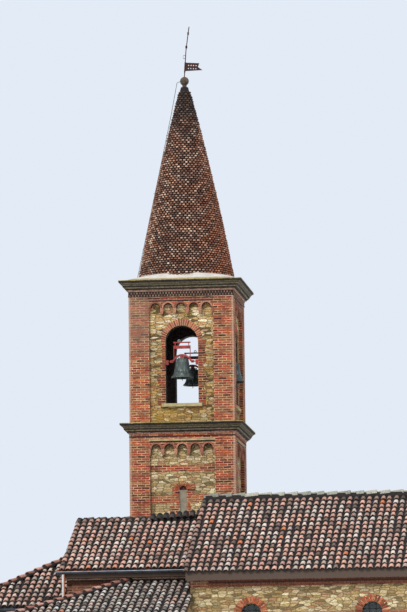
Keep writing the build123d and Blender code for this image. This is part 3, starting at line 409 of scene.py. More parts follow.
    def colour(self, add: Adder) -> Pattern:
        """Lay bricks or stones, weather them, then paint a highlight along the tower's corners and shade inside the
        tower and its openings.

        Args:
            add: Adds a node to the material.

        Returns:
            The colour, the height for the bump and the bump's depth in metres.
        """
        along, up, flat = wall_plane(add)
        colour, joint = self.brick_pattern(add, flat)
        if self.stone:
            stones, gaps = self.stone_pattern(add, flat)
            share = self.brick_share(add, along, up)
            colour = add("MixRGB", share, stones, colour)
            joint = add("Mix", share, A=gaps, B=joint)
        coords = add("TexCoord", out="Object")
        x, y, _ = add("SeparateXYZ", coords).node.outputs
        across, away = (add("Math ABSOLUTE", part) for part in (x, y))
        patches = add("TexNoise", coords, Scale=1.1, Detail=6.0, Roughness=0.65)
        colour = add("MixRGB", add("MapRange", patches, 0.5, 0.72, 0.0, self.soot), colour, "5d4a3c")
        grain = add("TexNoise", coords, Scale=30.0, Detail=4.0, Roughness=0.7)
        colour = dusted(add, colour, grain, 0.36, 0.64, 0.58, 1.42)
        if self.damp:
            low, high = self.damp
            colour = add("MixRGB", add("MapRange", up, high, low), colour, "e1dcd6", blend_type="MULTIPLY")
        if self.grey_left:
            high = add("MapRange", up, *self.bloom_up)
            left = add("MapRange", x, *self.bloom_left, 0.0, self.grey_left)
            colour = add("MixRGB", add("Math MULTIPLY", high, left), colour, "8a7462")
        # Painted highlight: a pale band along the tower's corners, where the arris catches the light
        if self.lit_arris:
            least = add("Math MINIMUM", across, away)
            least = add("Math ADD", least, add("Math MULTIPLY", grain, 0.06))
            wear_and_lit_edge = add("MapRange", least, self.lit_arris - 0.04, self.lit_arris, 0.0, 0.42)
            colour = add("MixRGB", wear_and_lit_edge, colour, "dcc3a8")
        if self.lichen:
            growth = add("TexNoise", coords, Scale=7.0, Detail=7.0, Roughness=0.75)
            growth = add("MapRange", growth, 0.44, 0.54, 0.0, 0.8)
            growth = add("Math MULTIPLY", growth, add("MapRange", along, 0.1, -0.4))
            growth = add("Math MULTIPLY", growth, self.between(add, up, *self.lichen))
            colour = add("MixRGB", growth, colour, "a8842a")
        if self.shade_inside:
            widest = add("Math MAXIMUM", across, away)
            dark = add("MapRange", widest, self.shade_inside + 0.12, self.shade_inside)
            colour = add("MixRGB", dark, colour, "3a2f29")
            facing = add("SeparateXYZ", coords.node.outputs["Normal"]).node.outputs
            colour = add("MixRGB", self.reveals(add, facing, across, away, widest), colour, "211915")
        proud = add("Math MULTIPLY_ADD", grain, 0.35, 1.0)
        return colour, add("Math SUBTRACT", proud, joint), 0.012


@dataclass(frozen=True)
class MouldedBrick(Finish):
    """Brick moulded to a profile, dark with age, painted black for the shade under its mouldings and pale grey for the
    highlights along their edges, with yellow lichen along its top.
    """

    top: float = TOP_CORNICE
    height: float = CORNICE_HEIGHT
    joint: float = 0.25
    # Bands by height: the black ones are painted shade under the mouldings, the pale grey ones painted highlights on
    # their edges
    rows: Steps = (
        (0.0, "a8826f"), (0.12, "bd9a86"), (0.16, "34261f"), (0.22, "1a1410"), (0.27, "6f644c"), (0.34, "94886e"),
        (0.39, "1f1914"), (0.46, "342d23"), (0.53, "7e745b"), (0.6, "474131"), (0.68, "80765d"), (0.76, "383125"),
        (0.82, "0f0c09"), (0.87, "181510"), (0.91, "8f7c42"), (0.96, "b8ac6c"), (1.0, "b3a86e"),
    )

    def colour(self, add: Adder) -> Pattern:
        """Streak each moulding by height, painting its shade and highlights in bands, with upright joints.

        Args:
            add: Adds a node to the material.

        Returns:
            The colour, the height for the bump and the bump's depth in metres.
        """
        along, up, _ = wall_plane(add)
        coords = add("TexCoord", out="Object")
        stretched = add("VectorMath MULTIPLY", coords, (2.5, 2.5, 14.0))
        patches = add("TexNoise", stretched, Scale=1.6, Detail=6.0, Roughness=0.7)
        height = add("Math ADD", up, add("Math MULTIPLY_ADD", patches, 0.06, -0.03))
        share = add("MapRange", height, self.top - self.height, self.top + 0.02)
        joints = add("MapRange", add("Math PINGPONG", along, self.joint), 0.012, 0.0, 0.0, 0.5)
        colour = add("MixRGB", joints, add("ValToRGB", share, stops=self.rows), "0e0c0a")
        grain = add("TexNoise", coords, Scale=22.0, Detail=4.0)
        return dusted(add, colour, grain, 0.36, 0.64, 0.55, 1.4), grain, 0.008


@dataclass(frozen=True)
class FiredClay(Finish):
    """Separate fired bricks and tiles, each of its own colour, with dirt in patches and shade painted into their
    recesses.
    """

    colours: Steps = ()
    dirt: str = "3a302a"
    dirt_share: float = 0.5
    dark_above: float = 0.0
    orange_right: float = 0.0
    hollow_shade: str = ""

    def colour(self, add: Adder) -> Pattern:
        """Take each piece's colour from its own number, weather the whole, then paint shade where its shape marks it.

        Args:
            add: Adds a node to the material.

        Returns:
            The colour, the height for the bump and the bump's depth in metres.
        """
        coords = add("TexCoord", out="Object")
        colour = add("ValToRGB", add("Attribute", out="Fac", attribute_name="tint"), stops=self.colours)
        patches = add("TexNoise", coords, Scale=1.4, Detail=7.0, Roughness=0.7)
        colour = add("MixRGB", add("MapRange", patches, 0.45, 0.7, 0.0, self.dirt_share), colour, self.dirt)
        if self.orange_right:
            right = add("MapRange", add("SeparateXYZ", coords), 0.35, 1.2, 0.0, self.orange_right)
            colour = add("MixRGB", right, colour, "ba6238")
        if self.dark_above:
            ragged = add("Math MULTIPLY_ADD", patches, 2.0, -1.0)
            ragged = add("Math ADD", add("SeparateXYZ", coords, out="Z"), ragged)
            high = add("MapRange", ragged, self.dark_above - 0.6, self.dark_above + 0.4, 0.0, 0.72)
            colour = add("MixRGB", high, colour, "262423")
        grain = add("TexNoise", coords, Scale=30.0, Detail=4.0)
        colour = dusted(add, colour, grain, 0.35, 0.65, 0.62, 1.35)
        # Painted shade: darken each piece where its shape's depth mark says it lies in shade
        if self.hollow_shade:
            deep = add("MapRange", add("Attribute", out="Fac", attribute_name="deep"), 0.3, 0.75)
            colour = add("MixRGB", deep, colour, self.hollow_shade)
        return colour, grain, 0.006


@dataclass(frozen=True)
class Plain(Finish):
    """A cast, rendered, sawn or painted surface: two colours in patches, a third in fine marks, and a grain."""

    base: str = "808080"
    second: str = "606060"
    marks: str = "404040"
    patch: float = 1.5
    marks_share: float = 0.3
    grain: float = 40.0
    stretch: tuple[float, float, float] = (1.0, 1.0, 1.0)
    depth: float = 0.003
    upright: str = ""
    right: str = ""
    rim: tuple[float, str] | None = None
    plank: float = 0.0

    def colour(self, add: Adder) -> Pattern:
        """Mix the two patch colours by noise, then add the marks and the grain.

        Args:
            add: Adds a node to the material.

        Returns:
            The colour, the height for the bump and the bump's depth in metres.
        """
        place = add("TexCoord", out="Object")
        coords = add("VectorMath MULTIPLY", place, self.stretch)
        patches = add("TexNoise", coords, Scale=self.patch, Detail=6.0, Roughness=0.6)
        colour = add("MixRGB", add("MapRange", patches, 0.38, 0.62), self.base, self.second)
        grain = add("TexNoise", coords, Scale=self.grain, Detail=5.0, Roughness=0.7)
        for part, limits, code in (("Z", (0.6, 0.4), self.upright), ("X", (0.15, 0.5), self.right)):
            if code:
                facing = add("SeparateXYZ", place.node.outputs["Normal"], out=part)
                colour = add("MixRGB", add("MapRange", facing, *limits), colour, code)
        colour = add("MixRGB", add("MapRange", grain, 0.52, 0.68, 0.0, self.marks_share), colour, self.marks)
        if self.rim:
            edge, rust = self.rim
            ragged = add("Math MULTIPLY_ADD", patches, 0.16, -0.08)
            ragged = add("Math ADD", add("SeparateXYZ", place, out="Z"), ragged)
            colour = add("MixRGB", add("MapRange", ragged, edge + 0.03, edge, 0.0, 0.85), colour, rust)
        if self.plank:
            seam = add("Math PINGPONG", add("SeparateXYZ", place, out="Y"), self.plank / 2)
            seam = add("MapRange", seam, 0.006, 0.0)
            colour = add("MixRGB", seam, colour, "0c0806")
        return colour, grain, self.depth


@dataclass(frozen=True)
class WindowGlass(Finish):
    """Thin drawn glass with a slight green cast and a film of dust."""

    def colour(self, add: Adder) -> Pattern:
        """Dull the pane in patches.

        Args:
            add: Adds a node to the material.

        Returns:
            The colour, the height for the bump and the bump's depth in metres.
        """
        film = add("TexNoise", add("TexCoord", out="Object"), Scale=4.0, Detail=5.0)
        return add("MixRGB", film, "9fb0ac", "6f7d7a"), film, 0.001


# Bricks: clay pressed in wooden moulds and wood-fired, so no two have quite the same red; the lime joints are pale
# Painted highlight along the tower's corners, painted shade inside the tower
BRICK = Masonry("lime_set_brick", "brickwork", grey_left=0.4, shade_inside=1.08, lit_arris=1.66)
# Rubble: split sandstone in ochre and cream, with brick jambs toothed into it round the bell openings
RUBBLE_BELFRY = Masonry(
    "sandstone_rubble_belfry", "rubble", stone=True, jamb=(OPENING_HALF, 10.9, 13.0), shade_inside=1.3, soot=0.2,
    damp=(12.7, 13.5), lichen=(10.37, 10.85),
)
# Rubble of the shaft: duller, with two level bands of brick and brick jambs round the blind slit
RUBBLE_SHAFT = Masonry(
    "sandstone_rubble_shaft", "rubble", stone=True, bands=((8.84, 9.04), (7.85, 8.1)), jamb=(0.11, 6.9, 8.42),
    stones=("80704a", "ba9c68", "e2cfa0", "a88c5c", "d3b67e", "97865c", "eeddb2", "b58a62"), soot=0.2,
    shade_inside=1.42,
)
LOW_STONES = ("7a6844", "b0925f", "d9c596", "9d8152", "c9ac74", "8d7c54", "e6d6ab", "ab8058")
# Rubble of the church walls: the same stone with brick bands, brick corners and brick under the eaves
RUBBLE_CHURCH = Masonry(
    "sandstone_rubble_church", "rubble", stone=True,
    bands=((0.0, 0.3), (0.9, 1.13), (2.2, 2.43), (3.5, 3.73), (4.5, 5.2)),
    quoins=((-5.64, -2.65, 12.0), (-10.73, -9.18, -1.68, -0.13)),
    bricks=("4a2a1f", "87493a", "a35a3c", "8f5540", "ad6440", "75402f", "b97c58"), joint="c2a486", stones=LOW_STONES,
    soot=0.3,
)
# Rubble of the chapel: the same again, its bands lower because its eaves are
RUBBLE_CHAPEL = Masonry(
    "sandstone_rubble_chapel", "rubble", stone=True, bands=((0.0, 0.3), (0.9, 1.13), (2.2, 2.43), (2.95, 3.5)),
    quoins=((-3.95,), (-12.83,)), stones=LOW_STONES, soot=0.3,
)
# Cornices: bricks moulded to a profile, painted black for the shade in their recesses and pale grey for the highlights
# along their edges
TOP_MOULDINGS = MouldedBrick("moulded_brick_top", "moulded_brick", top=TOP_CORNICE)
MID_MOULDINGS = MouldedBrick("moulded_brick_middle", "moulded_brick", top=MID_CORNICE)
# Courses under the eaves, laid as headers: painted dark for the shade that the eaves cast and for the shadows of the
# sawtooth bricks, with rows of paler mortar
EAVES_BRICK = MouldedBrick(
    "eaves_courses", "brickwork", top=5.076, height=0.548, joint=0.06,
    # Dark bands are painted shade: under the eaves and under the sawtooth bricks
    rows=(
        (0.0, "7d4a38"), (0.1, "8c5a44"), (0.15, "3a2219"), (0.28, "7a4632"), (0.33, "c8a58c"), (0.37, "4c2d22"),
        (0.5, "6d4434"), (0.62, "3f281f"), (0.68, "d0b49c"), (0.72, "5a382b"), (0.85, "6b4535"), (0.95, "9a7864"),
        (1.0, "4a3026"),
    ),
)
# Rubbed rings and corbels: soft red brick bleached to a dusty pink
RING_BRICK = FiredClay(
    "ring_brick", "brickwork", dirt="64463a", dirt_share=0.4,
    colours=((0.0, "84503c"), (0.5, "a86a52"), (1.0, "c08a6c")),
)
# Cornerwise bricks under the top cornice: the same clay, brown with smoke
TOOTH_BRICK = FiredClay(
    "tooth_brick", "brickwork", dirt="54402f", dirt_share=0.5,
    colours=((0.0, "7c5c4a"), (0.5, "9c7862"), (1.0, "b8957c")),
)
# String course: hard red brick, cleaner than the wall because the cornice shelters it
STRING_BRICK = FiredClay(
    "string_brick", "brickwork", dirt="5a3a32", dirt_share=0.4,
    colours=((0.0, "80544a"), (0.5, "9a6a5c"), (1.0, "ab7c6c")),
)
# Bricks on edge over the openings: picked for their even red, the rain keeps them clean
VOUSSOIR_BRICK = FiredClay(
    "voussoir_brick", "brickwork", dirt="6a4a3c", dirt_share=0.3,
    colours=((0.0, "783524"), (0.5, "a85032"), (1.0, "c4704a")),
)
# Headers left rough and standing out of the cone: brown-pink at their faces, painted dark for shade on their sides,
# sooty at the tip
HEADER_BRICK = FiredClay(
    "rough_headers", "spire_brick", dirt="5a463a", dirt_share=0.55, dark_above=20.0, orange_right=0.45,
    colours=((0.0, "5e4034"), (0.3, "93644e"), (0.65, "ba876c"), (0.9, "d8aa8c"), (1.0, "ecd0b4")), hollow_shade="1c1411",
)
# The cone's own face between the headers: mortar in deep shade
CONE_JOINTS = Plain("deep_joints", "spire_brick", base="1c1310", second="261a15", marks="0d0908", patch=3.0)
# Coppi: fired clay bent over a tapered form, so each has its own width; salmon where clean, grey with lichen; painted
# dark for shade on the flanks and under the next tile's lip, the darkest tints painted shade for the top rows
TILE = FiredClay(
    "coppi", "roof_tiles", dirt="6b584c", dirt_share=0.45, hollow_shade="0f0b09",
    colours=(
        (0.0, "231d1a"), (0.03, "5c4a42"), (0.1, "957c6e"), (0.24, "c89a88"), (0.44, "eab29a"), (0.62, "f0c2ae"),
        (0.74, "c0ac9e"), (0.86, "e2cebe"), (0.97, "f4e4d6"), (0.985, "e2824c"), (1.0, "e2824c"),
    ),
)
# The same tiles where the chapel's lower roof keeps them damp: grey and chalky with lichen; flanks, upper ends and top
# rows painted dark for shade as on the others
GREY_TILE = FiredClay(
    "lichened_coppi", "roof_tiles", dirt="6f6458", dirt_share=0.45, hollow_shade="0f0b09",
    colours=(
        (0.0, "231d1a"), (0.03, "5a4e46"), (0.14, "8c8078"), (0.32, "bdb0a4"), (0.5, "d8b8a6"),
        (0.66, "a89c90"), (0.84, "dcd2c6"), (0.98, "f0e8dc"), (1.0, "d98a5c"),
    ),
)
# Channels between the covers: the same clay, painted black for the shade between the covers as well as for what the
# rain leaves there
PAN = FiredClay(
    "coppi_channels", "roof_tiles", dirt="120e0c", dirt_share=0.6, colours=((0.0, "1a1411"), (1.0, "332824"))
)
# Caps of the nave's ridge: the same clay under a crust of pale grey lichen
RIDGE_CLAY = FiredClay(
    "ridge_caps", "roof_tiles", dirt="6c6a5c", dirt_share=0.4,
    colours=((0.0, "8d8c80"), (0.6, "adab9c"), (1.0, "c4beab")),
)
# Caps of the hips: younger clay, still pink, painted dark for shade on their flanks and upper ends
HIP_CLAY = FiredClay(
    "hip_caps", "roof_tiles", dirt="6d5a50", dirt_share=0.4, hollow_shade="2a1c16",
    colours=((0.0, "9a6454"), (0.6, "c08472"), (1.0, "d8a694")),
)
# Caps of the presbytery's ridge and covers over its step: painted black for the shade along the ridge, darker again on
# their flanks and upper ends
DARK_CLAY = FiredClay(
    "smoked_caps", "roof_tiles", dirt="2c2622", dirt_share=0.5, hollow_shade="0f0b09",
    colours=((0.0, "2a2420"), (0.4, "54463e"), (0.8, "86726a"), (1.0, "a88c80")),
)
# Bedding under the tiles: mortar that is black where it faces up between them, and pale along the eaves and verges
DECK = Plain(
    "bedding_mortar", "roof_tiles", base="33291f", second="241d18", marks="2a211b", patch=4.0, upright="5a4a3f",
    depth=0.008,
)
# Lime mortar, trowelled on and rain-washed: chalk white with grey runs
APRON_MORTAR = Plain(
    "trowelled_lime", "mortar", base="e6e2da", second="cfc8bc", marks="8f887a", patch=3.0, marks_share=0.5, depth=0.01,
    rim=(14.955, "a08a52"),
)
# Joints of the bell openings' arches: lime stained by the bricks
JOINT_MORTAR = Plain("bedding_lime", "brickwork", base="cfac86", second="b89274", marks="806452", patch=8.0)
# Grey lime plaster that fills the blind slit
PLASTER = Plain(
    "smoothed_lime_plaster", "mortar", base="a39a86", second="8b8472", marks="6f6a58", patch=6.0, depth=0.004
)
# One block of dressed limestone by the slit: almost white
PALE_STONE = Plain("dressed_limestone", "sill_stone", base="e9e5b4", second="d4cb9a", marks="8f8a66", patch=9.0)
# Brick in the shadow behind teeth, strings and rings: painted black as that shadow
PAINTED_SHADE = Plain("sooty_recess", "brickwork", base="241a16", second="30221c", marks="120d0b", patch=8.0)
# Mortar packed under the ridge caps, painted black for the shade under them
RIDGE_BED = Plain("smoked_bedding", "mortar", base="2a2420", second="1c1815", marks="3d352e", patch=5.0, depth=0.008)
# Sawn sandstone of sills and the pale string: buff, with brown where water stands
SILL = Plain("sawn_sandstone", "sill_stone", base="c8ba8a", second="a2966a", marks="6a6048", patch=5.0, depth=0.006)
# Flagstones of the floors: grey-brown, worn dull
PAVING = Plain("worn_flagstone", "paving", base="9c9280", second="7f7666", marks="575044", patch=2.0)
# Bell bronze: cast in loam and never polished; the patina is grey-green with paler runs of water down the waist
BRONZE = Plain(
    "cast_bell_bronze", "bronze", roughness=0.55, metallic=0.35, base="5a6662", second="38403e", marks="a9b4aa",
    patch=9.0, marks_share=0.75, grain=24.0, stretch=(1.0, 1.0, 0.16),
)
# Iron brushed with red oxide paint, chalky with age
RED_IRON = Plain(
    "red_oxide_paint", "red_iron", roughness=0.6, base="bb3a2f", second="7c2a24", marks="331512", patch=7.0,
    marks_share=0.5,
)
# Forged iron blackened with oil: nearly black, brown at its marks
DARK_IRON = Plain("black_iron", "dark_iron", roughness=0.7, base="231f1d", second="15120f", marks="3a2a20", patch=12.0)
# Wrought iron without paint: dark brown, with orange rust in its grain
RUST = Plain(
    "wrought_iron_rust", "rusty_iron", base="4a2a20", second="2e1c17", marks="6f3a22", patch=14.0, marks_share=0.6
)
# The ball, beaten from sheet: rust under a film of pale dust
BALL_RUST = Plain(
    "beaten_ball", "rusty_iron", base="41352b", second="6d5c4b", marks="1d1713", patch=12.0, marks_share=0.7, grain=22.0
)
# Red lead on the flashing behind the gutter: the orange that steel is primed with, chalky and streaked with rust
PRIMER = Plain(
    "red_lead_primer", "rusty_iron", base="b4552e", second="8a4a34", marks="5d3a2c", patch=7.0, marks_share=0.5
)
# Rolled zinc: blue-grey and dull, with brown runs
ZINC = Plain(
    "rolled_zinc", "zinc", roughness=0.6, metallic=0.15, base="4a525a", second="363d44", marks="8a6248", patch=2.5,
    marks_share=0.25,
)
# Zinc of the rolled bead, painted paler as a highlight where the roll reflects the sky
BEAD_ZINC = Plain(
    "beaded_zinc", "zinc", roughness=0.4, metallic=0.3, base="a8b4c0", second="7f8b96", marks="5d6872", patch=3.0,
    marks_share=0.3,
)
# Painted sheet of the downpipe: off-white, rusting through on its weather side
PIPE = Plain(
    "faded_pipe_paint", "pale_pipe", base="dfe1e2", second="cfcac2", marks="b8643a", patch=6.0, right="c06a3c"
)
# Sawn oak, its grain upright, in boards of 150 mm: brown with black seams
OAK = Plain(
    "sawn_oak", "oak", roughness=0.75, base="5a4030", second="402c20", marks="241812", patch=6.0,
    stretch=(1.0, 1.0, 0.08), grain=60.0, plank=0.15,
)
# Glass drawn thin: dark and faintly green, dull with dust
GLASS = WindowGlass("drawn_glass", "window_pane", roughness=0.1, transmission=0.8)

NODE_FINISHES: dict[str, Finish] = {
    name: finish
    for finish, names in (
        (PAVING, "tower_floor belfry_floor nave_floor chancel_floor chapel_floor"),
        (BRICK, "tower_base shaft_piers shaft_arcade belfry_piers belfry_arcade"),
        (RUBBLE_SHAFT, "shaft_panels"),
        (MID_MOULDINGS, "mid_cornice"),
        (RUBBLE_BELFRY, "belfry_wall_front belfry_wall_right belfry_wall_back belfry_wall_left"),
        (JOINT_MORTAR, "belfry_archivolts"),
        (SILL, "belfry_sills"),
        (TOP_MOULDINGS, "top_cornice"),
        (CONE_JOINTS, "spire"),
        (APRON_MORTAR, "apron"),
        (BALL_RUST, "ball"),
        (RUST, "spindle vane"),
        (BRONZE, "bell_front bell_right bell_back"),
        (RED_IRON, "bell_bearings headstock_front headstock_right headstock_back"),
        (DARK_IRON, "conductor clapper_front clapper_right clapper_back"),
        (OAK, "door"),
        (ZINC, "gutters"),
        (PIPE, "downpipe"),
        (GLASS, "window_glass"),
        (EAVES_BRICK, "eaves_cornices"),
        (RUBBLE_CHAPEL, "chapel_walls"),
        (HIP_CLAY, "ridge_tiles"),
    )
    for name in names.split()
}


def clear_hands() -> None:
    """Leave edit mode and deselect everything."""
    if bpy.context.object and bpy.context.object.mode != "OBJECT":
        bpy.ops.object.mode_set(mode="OBJECT")
    bpy.ops.object.select_all(action="DESELECT")


def take(name: str) -> Piece:
    """Name the primitive just added, with its place in its mesh.

    Args:
        name: Name of the piece.

    Returns:
        The piece, selected and active.
    """
    piece = bpy.context.object
    bpy.ops.object.transform_apply(location=True, rotation=True, scale=True)
    piece.name = piece.data.name = name
    return piece


def pick(piece: Piece, way: Way) -> None:
    """Enter edit mode and select the faces that look one way.

    Args:
        piece: The active piece.
        way: The direction.
    """
    bpy.ops.object.mode_set(mode="EDIT")
    bpy.ops.mesh.select_mode(type="FACE")
    bpy.ops.mesh.select_all(action="DESELECT")
    mesh = bmesh.from_edit_mesh(piece.data)
    for face in mesh.faces:
        face.select_set(face.normal.dot(Vector(way.value)) > 0.9)
    bmesh.update_edit_mesh(piece.data)


def draw_out(piece: Piece, way: Way, *steps: tuple[Point | None, Point | None]) -> Piece:
    """Draw the faces that look one way out of a piece, step by step.

    Args:
        piece: The active piece.
        way: The direction.
        steps: How far each step is extruded and how its end is then resized, with None for neither.

    Returns:
        The piece, out of edit mode.
    """
    pick(piece, way)
    for move, size in steps:
        if move:
            bpy.ops.mesh.extrude_region_move(TRANSFORM_OT_translate={"value": move})
        if size:
            bpy.ops.transform.resize(value=size)
    bpy.ops.object.mode_set(mode="OBJECT")
    return piece


def finish_with(piece: Piece, kind: str, **settings: object) -> Piece:
    """Add a modifier and apply it.

    Args:
        piece: The piece.
        kind: Modifier type.
        settings: Its properties.

    Returns:
        The piece.
    """
    modifier = piece.modifiers.new(kind.lower(), kind)
    for name, value in settings.items():
        setattr(modifier, name, value)
    bpy.context.view_layer.objects.active = piece
    bpy.ops.object.modifier_apply(modifier=modifier.name)
    return piece


def block(name: str, low: Point, high: Point) -> Piece:
    """Start a piece from a cube between two corners.

    Args:
        name: Name of the piece.
        low: Lowest corner.
        high: Highest corner.

    Returns:
        The cube, at its size and place.
    """
    clear_hands()
    low, high = Vector(low), Vector(high)
    bpy.ops.mesh.primitive_cube_add(size=1, location=(low + high) / 2, scale=high - low)
    return take(name)


def chamfered(name: str, low: Point, high: Point, width: float) -> Piece:
    """Model a block with its edges taken off.

    Args:
        name: Name of the piece.
        low: Lowest corner.
        high: Highest corner.
        width: Width of the chamfers.

    Returns:
        The block.
    """
    return finish_with(block(name, low, high), "BEVEL", width=width, segments=1)


def round_head(name: str, sides: int, radius: float, depth: float) -> Piece:
    """Start a round head that faces -Y.

    Args:
        name: Name of the piece.
        sides: Its flat sides.
        radius: Its radius.
        depth: Its thickness, in front of the origin.

    Returns:
        The disc.
    """
    clear_hands()
    bpy.ops.mesh.primitive_cylinder_add(
        vertices=sides, radius=radius, depth=depth, location=(0, -depth / 2, 0), rotation=(math.pi / 2, 0, 0)
    )
    return take(name)


def paint_shade_depth(piece: Piece, depth: Callable[[Vector], float]) -> None:
    """Note how deep in shade each point lies, for the shade painted in the material.

    Args:
        piece: The shape to mark.
        depth: Gives 0 for a point in the open and 1 for one in a hollow.
    """
    marks = piece.data.attributes.new("deep", "FLOAT", "POINT")
    marks.data.foreach_set("value", [min(1.0, max(0.0, depth(vertex.co))) for vertex in piece.data.vertices])


@dataclass(frozen=True)
class Place:
    """Where one copy of a repeated shape goes: its point, turn and scale, and the number that its colour comes from."""

    at: Point
    turn: Point = (0.0, 0.0, 0.0)
    size: Point = (1.0, 1.0, 1.0)
    tint: float = 0.5


FOUR_FACES = [Place((0.0, 0.0, 0.0), side.turn) for side in Side]


def copies(finish: Finish, name: str, shape: Piece, places: Sequence[Place], body: Body = Body.MASONRY) -> Piece:
    """Copy a modelled shape to many places as one mesh, each copy with its own tint number, and dress it.

    Args:
        finish: The finish of the copies.
        name: Name of the joined piece.
        shape: The shape, modelled round the origin. It is removed afterwards.
        places: Where the copies go.
        body: The body that carries them.

    Returns:
        The joined piece.
    """
    clear_hands()
    mesh = bpy.data.meshes.new(name)
    mesh.from_pydata([place.at for place in places], [], [])
    for kept, values in (
        ("turn", [x for place in places for x in place.turn]),
        ("size", [x for place in places for x in place.size]),
    ):
        mesh.attributes.new(kept, "FLOAT_VECTOR", "POINT").data.foreach_set("vector", values)
    mesh.attributes.new("tint", "FLOAT", "POINT").data.foreach_set("value", [place.tint for place in places])
    piece = bpy.data.objects.new(name, mesh)
    bpy.context.scene.collection.objects.link(piece)
    tree = bpy.data.node_groups.new(name, "GeometryNodeTree")
    for way in ("INPUT", "OUTPUT"):
        tree.interface.new_socket("Geometry", in_out=way, socket_type="NodeSocketGeometry")
    add = partial(add_node, tree)
    placed = add(
        "GeometryNodeInstanceOnPoints",
        tree.nodes.new("NodeGroupInput").outputs[0],
        Instance=add("GeometryNodeObjectInfo", shape, out="Geometry"),
        Rotation=add("GeometryNodeInputNamedAttribute", "turn", data_type="FLOAT_VECTOR"),
        Scale=add("GeometryNodeInputNamedAttribute", "size", data_type="FLOAT_VECTOR"),
    )
    joined = add("GeometryNodeRealizeInstances", placed)
    tree.links.new(joined, tree.nodes.new("NodeGroupOutput").inputs[0])
    piece.select_set(True)
    finish_with(piece, "NODES", node_group=tree)
    bpy.data.objects.remove(shape)
    bpy.data.node_groups.remove(tree)
    return finish.dress(piece, body)


def spun(
    name: str, sections: Sequence[tuple[float, float, float, float]], steps: int, turn: float = 2 * math.pi
) -> Piece:
    """Spin flat sections round the Y axis into rings.

    Args:
        name: Name of the shape.
        sections: Middle radius, place along Y, breadth and depth of each section.
        steps: Flat sides of the ring.
        turn: Angle of the spin.

    Returns:
        The closed rings round the origin.
    """
    clear_hands()
    for i, (radius, along, broad, deep) in enumerate(sections):
        bpy.ops.mesh.primitive_plane_add(size=1, location=(radius, along, 0))
        if i == 0:
            piece = bpy.context.object
            piece.scale = (broad, deep, 1)
            take(name)
            bpy.ops.object.mode_set(mode="EDIT")
        else:
            bpy.ops.transform.resize(value=(broad, deep, 1), center_override=(radius, along, 0))
    bpy.ops.mesh.select_all(action="SELECT")
    bpy.ops.mesh.spin(steps=steps, angle=turn, center=(0, 0, 0), axis=(0, 1, 0))
    bpy.ops.mesh.select_all(action="SELECT")
    bpy.ops.mesh.remove_doubles(threshold=0.0002)
    bpy.ops.mesh.normals_make_consistent(inside=False)
    bpy.ops.object.mode_set(mode="OBJECT")
    return piece


def voussoir() -> Piece:
    """Model one brick on edge, its wider end up.

    Returns:
        The brick, 1 m long before it is scaled, standing on the origin.
    """
    piece = block("voussoir", (-0.024, -0.016, 0), (0.024, 0.03, 1))
    return finish_with(draw_out(piece, Way.UP, (None, (1.3, 1, 1))), "BEVEL", width=0.006, segments=1)


def fan(side: Side, count: int, sweep: float = math.pi) -> Iterator[tuple[float, float, Euler]]:
    """Spread bricks on edge round an arch.

    Args:
        side: The face that the arch is in.
        count: How many bricks.
        sweep: Angle of the whole arch.

    Yields:
        For each brick the cosine and the sine of its angle, and its rotation.
    """
    for i in range(count):
        angle = sweep * (i + 0.5) / count
        yield math.cos(angle), math.sin(angle), side.leant(math.pi / 2 - angle)


@dataclass
class Assembly:
    """Pieces that are laid by hand: each differs a little, by draws from one seeded source."""

    seed: int = 1

    def __post_init__(self) -> None:
        """Start the source of the small differences."""
        self.dice = random.Random(self.seed)

    def within(self, low: float, high: float) -> float:
        """Draw a number between two limits."""
        return self.dice.uniform(low, high)

    def stray(self, reach: float) -> float:
        """Draw a small difference to either side."""
        return self.dice.uniform(-reach, reach)

    def settled(self, axes: Matrix, pitch: float, roll: float, yaw: float) -> Euler:
        """Rotation of a tile that lies a little out of true.

        Args:
            axes: Directions along the eave, up the slope and out of it.
            pitch: Its angle to the slope.
            roll: How far it may roll.
            yaw: How far it may turn.

        Returns:
            The rotation.
        """
        return (axes @ Euler((pitch, self.stray(roll), self.stray(yaw))).to_matrix()).to_euler()


@dataclass(frozen=True)
class Slope:
    """One plane of a roof: its lower corner, the way of its eave, its run and pitch, and how its hips cut it."""

    name: str
    corner: tuple[float, float, float]
    along: tuple[float, float]
    run: float
    pitch: float
    width: float
    left_cut: float = 0.0
    right_cut: float = 0.0

    @property
    def rise(self) -> float:
        """Length of the slope from eave to ridge."""
        return self.run * math.hypot(1, self.pitch)

    @property
    def axes(self) -> Matrix:
        """Find the axes of the slope.

        Returns:
            The directions along the eave, up the slope and out of it.
        """
        x, y = self.along
        along, up = Vector((x, y, 0)), Vector((-y, x, self.pitch)).normalized()
        return Matrix((along, up, along.cross(up))).transposed()

    def point(self, across: float, climb: float, off: float) -> Vector:
        """Point at a distance along the eave, up the slope and off it."""
        return Vector(self.corner) + self.axes @ Vector((across, climb, off))

    def covers(self, across: float, climb: float) -> bool:
        """Whether a point lies between the hips."""
        return self.left_cut * climb - 0.02 <= across <= self.width - self.right_cut * climb + 0.02


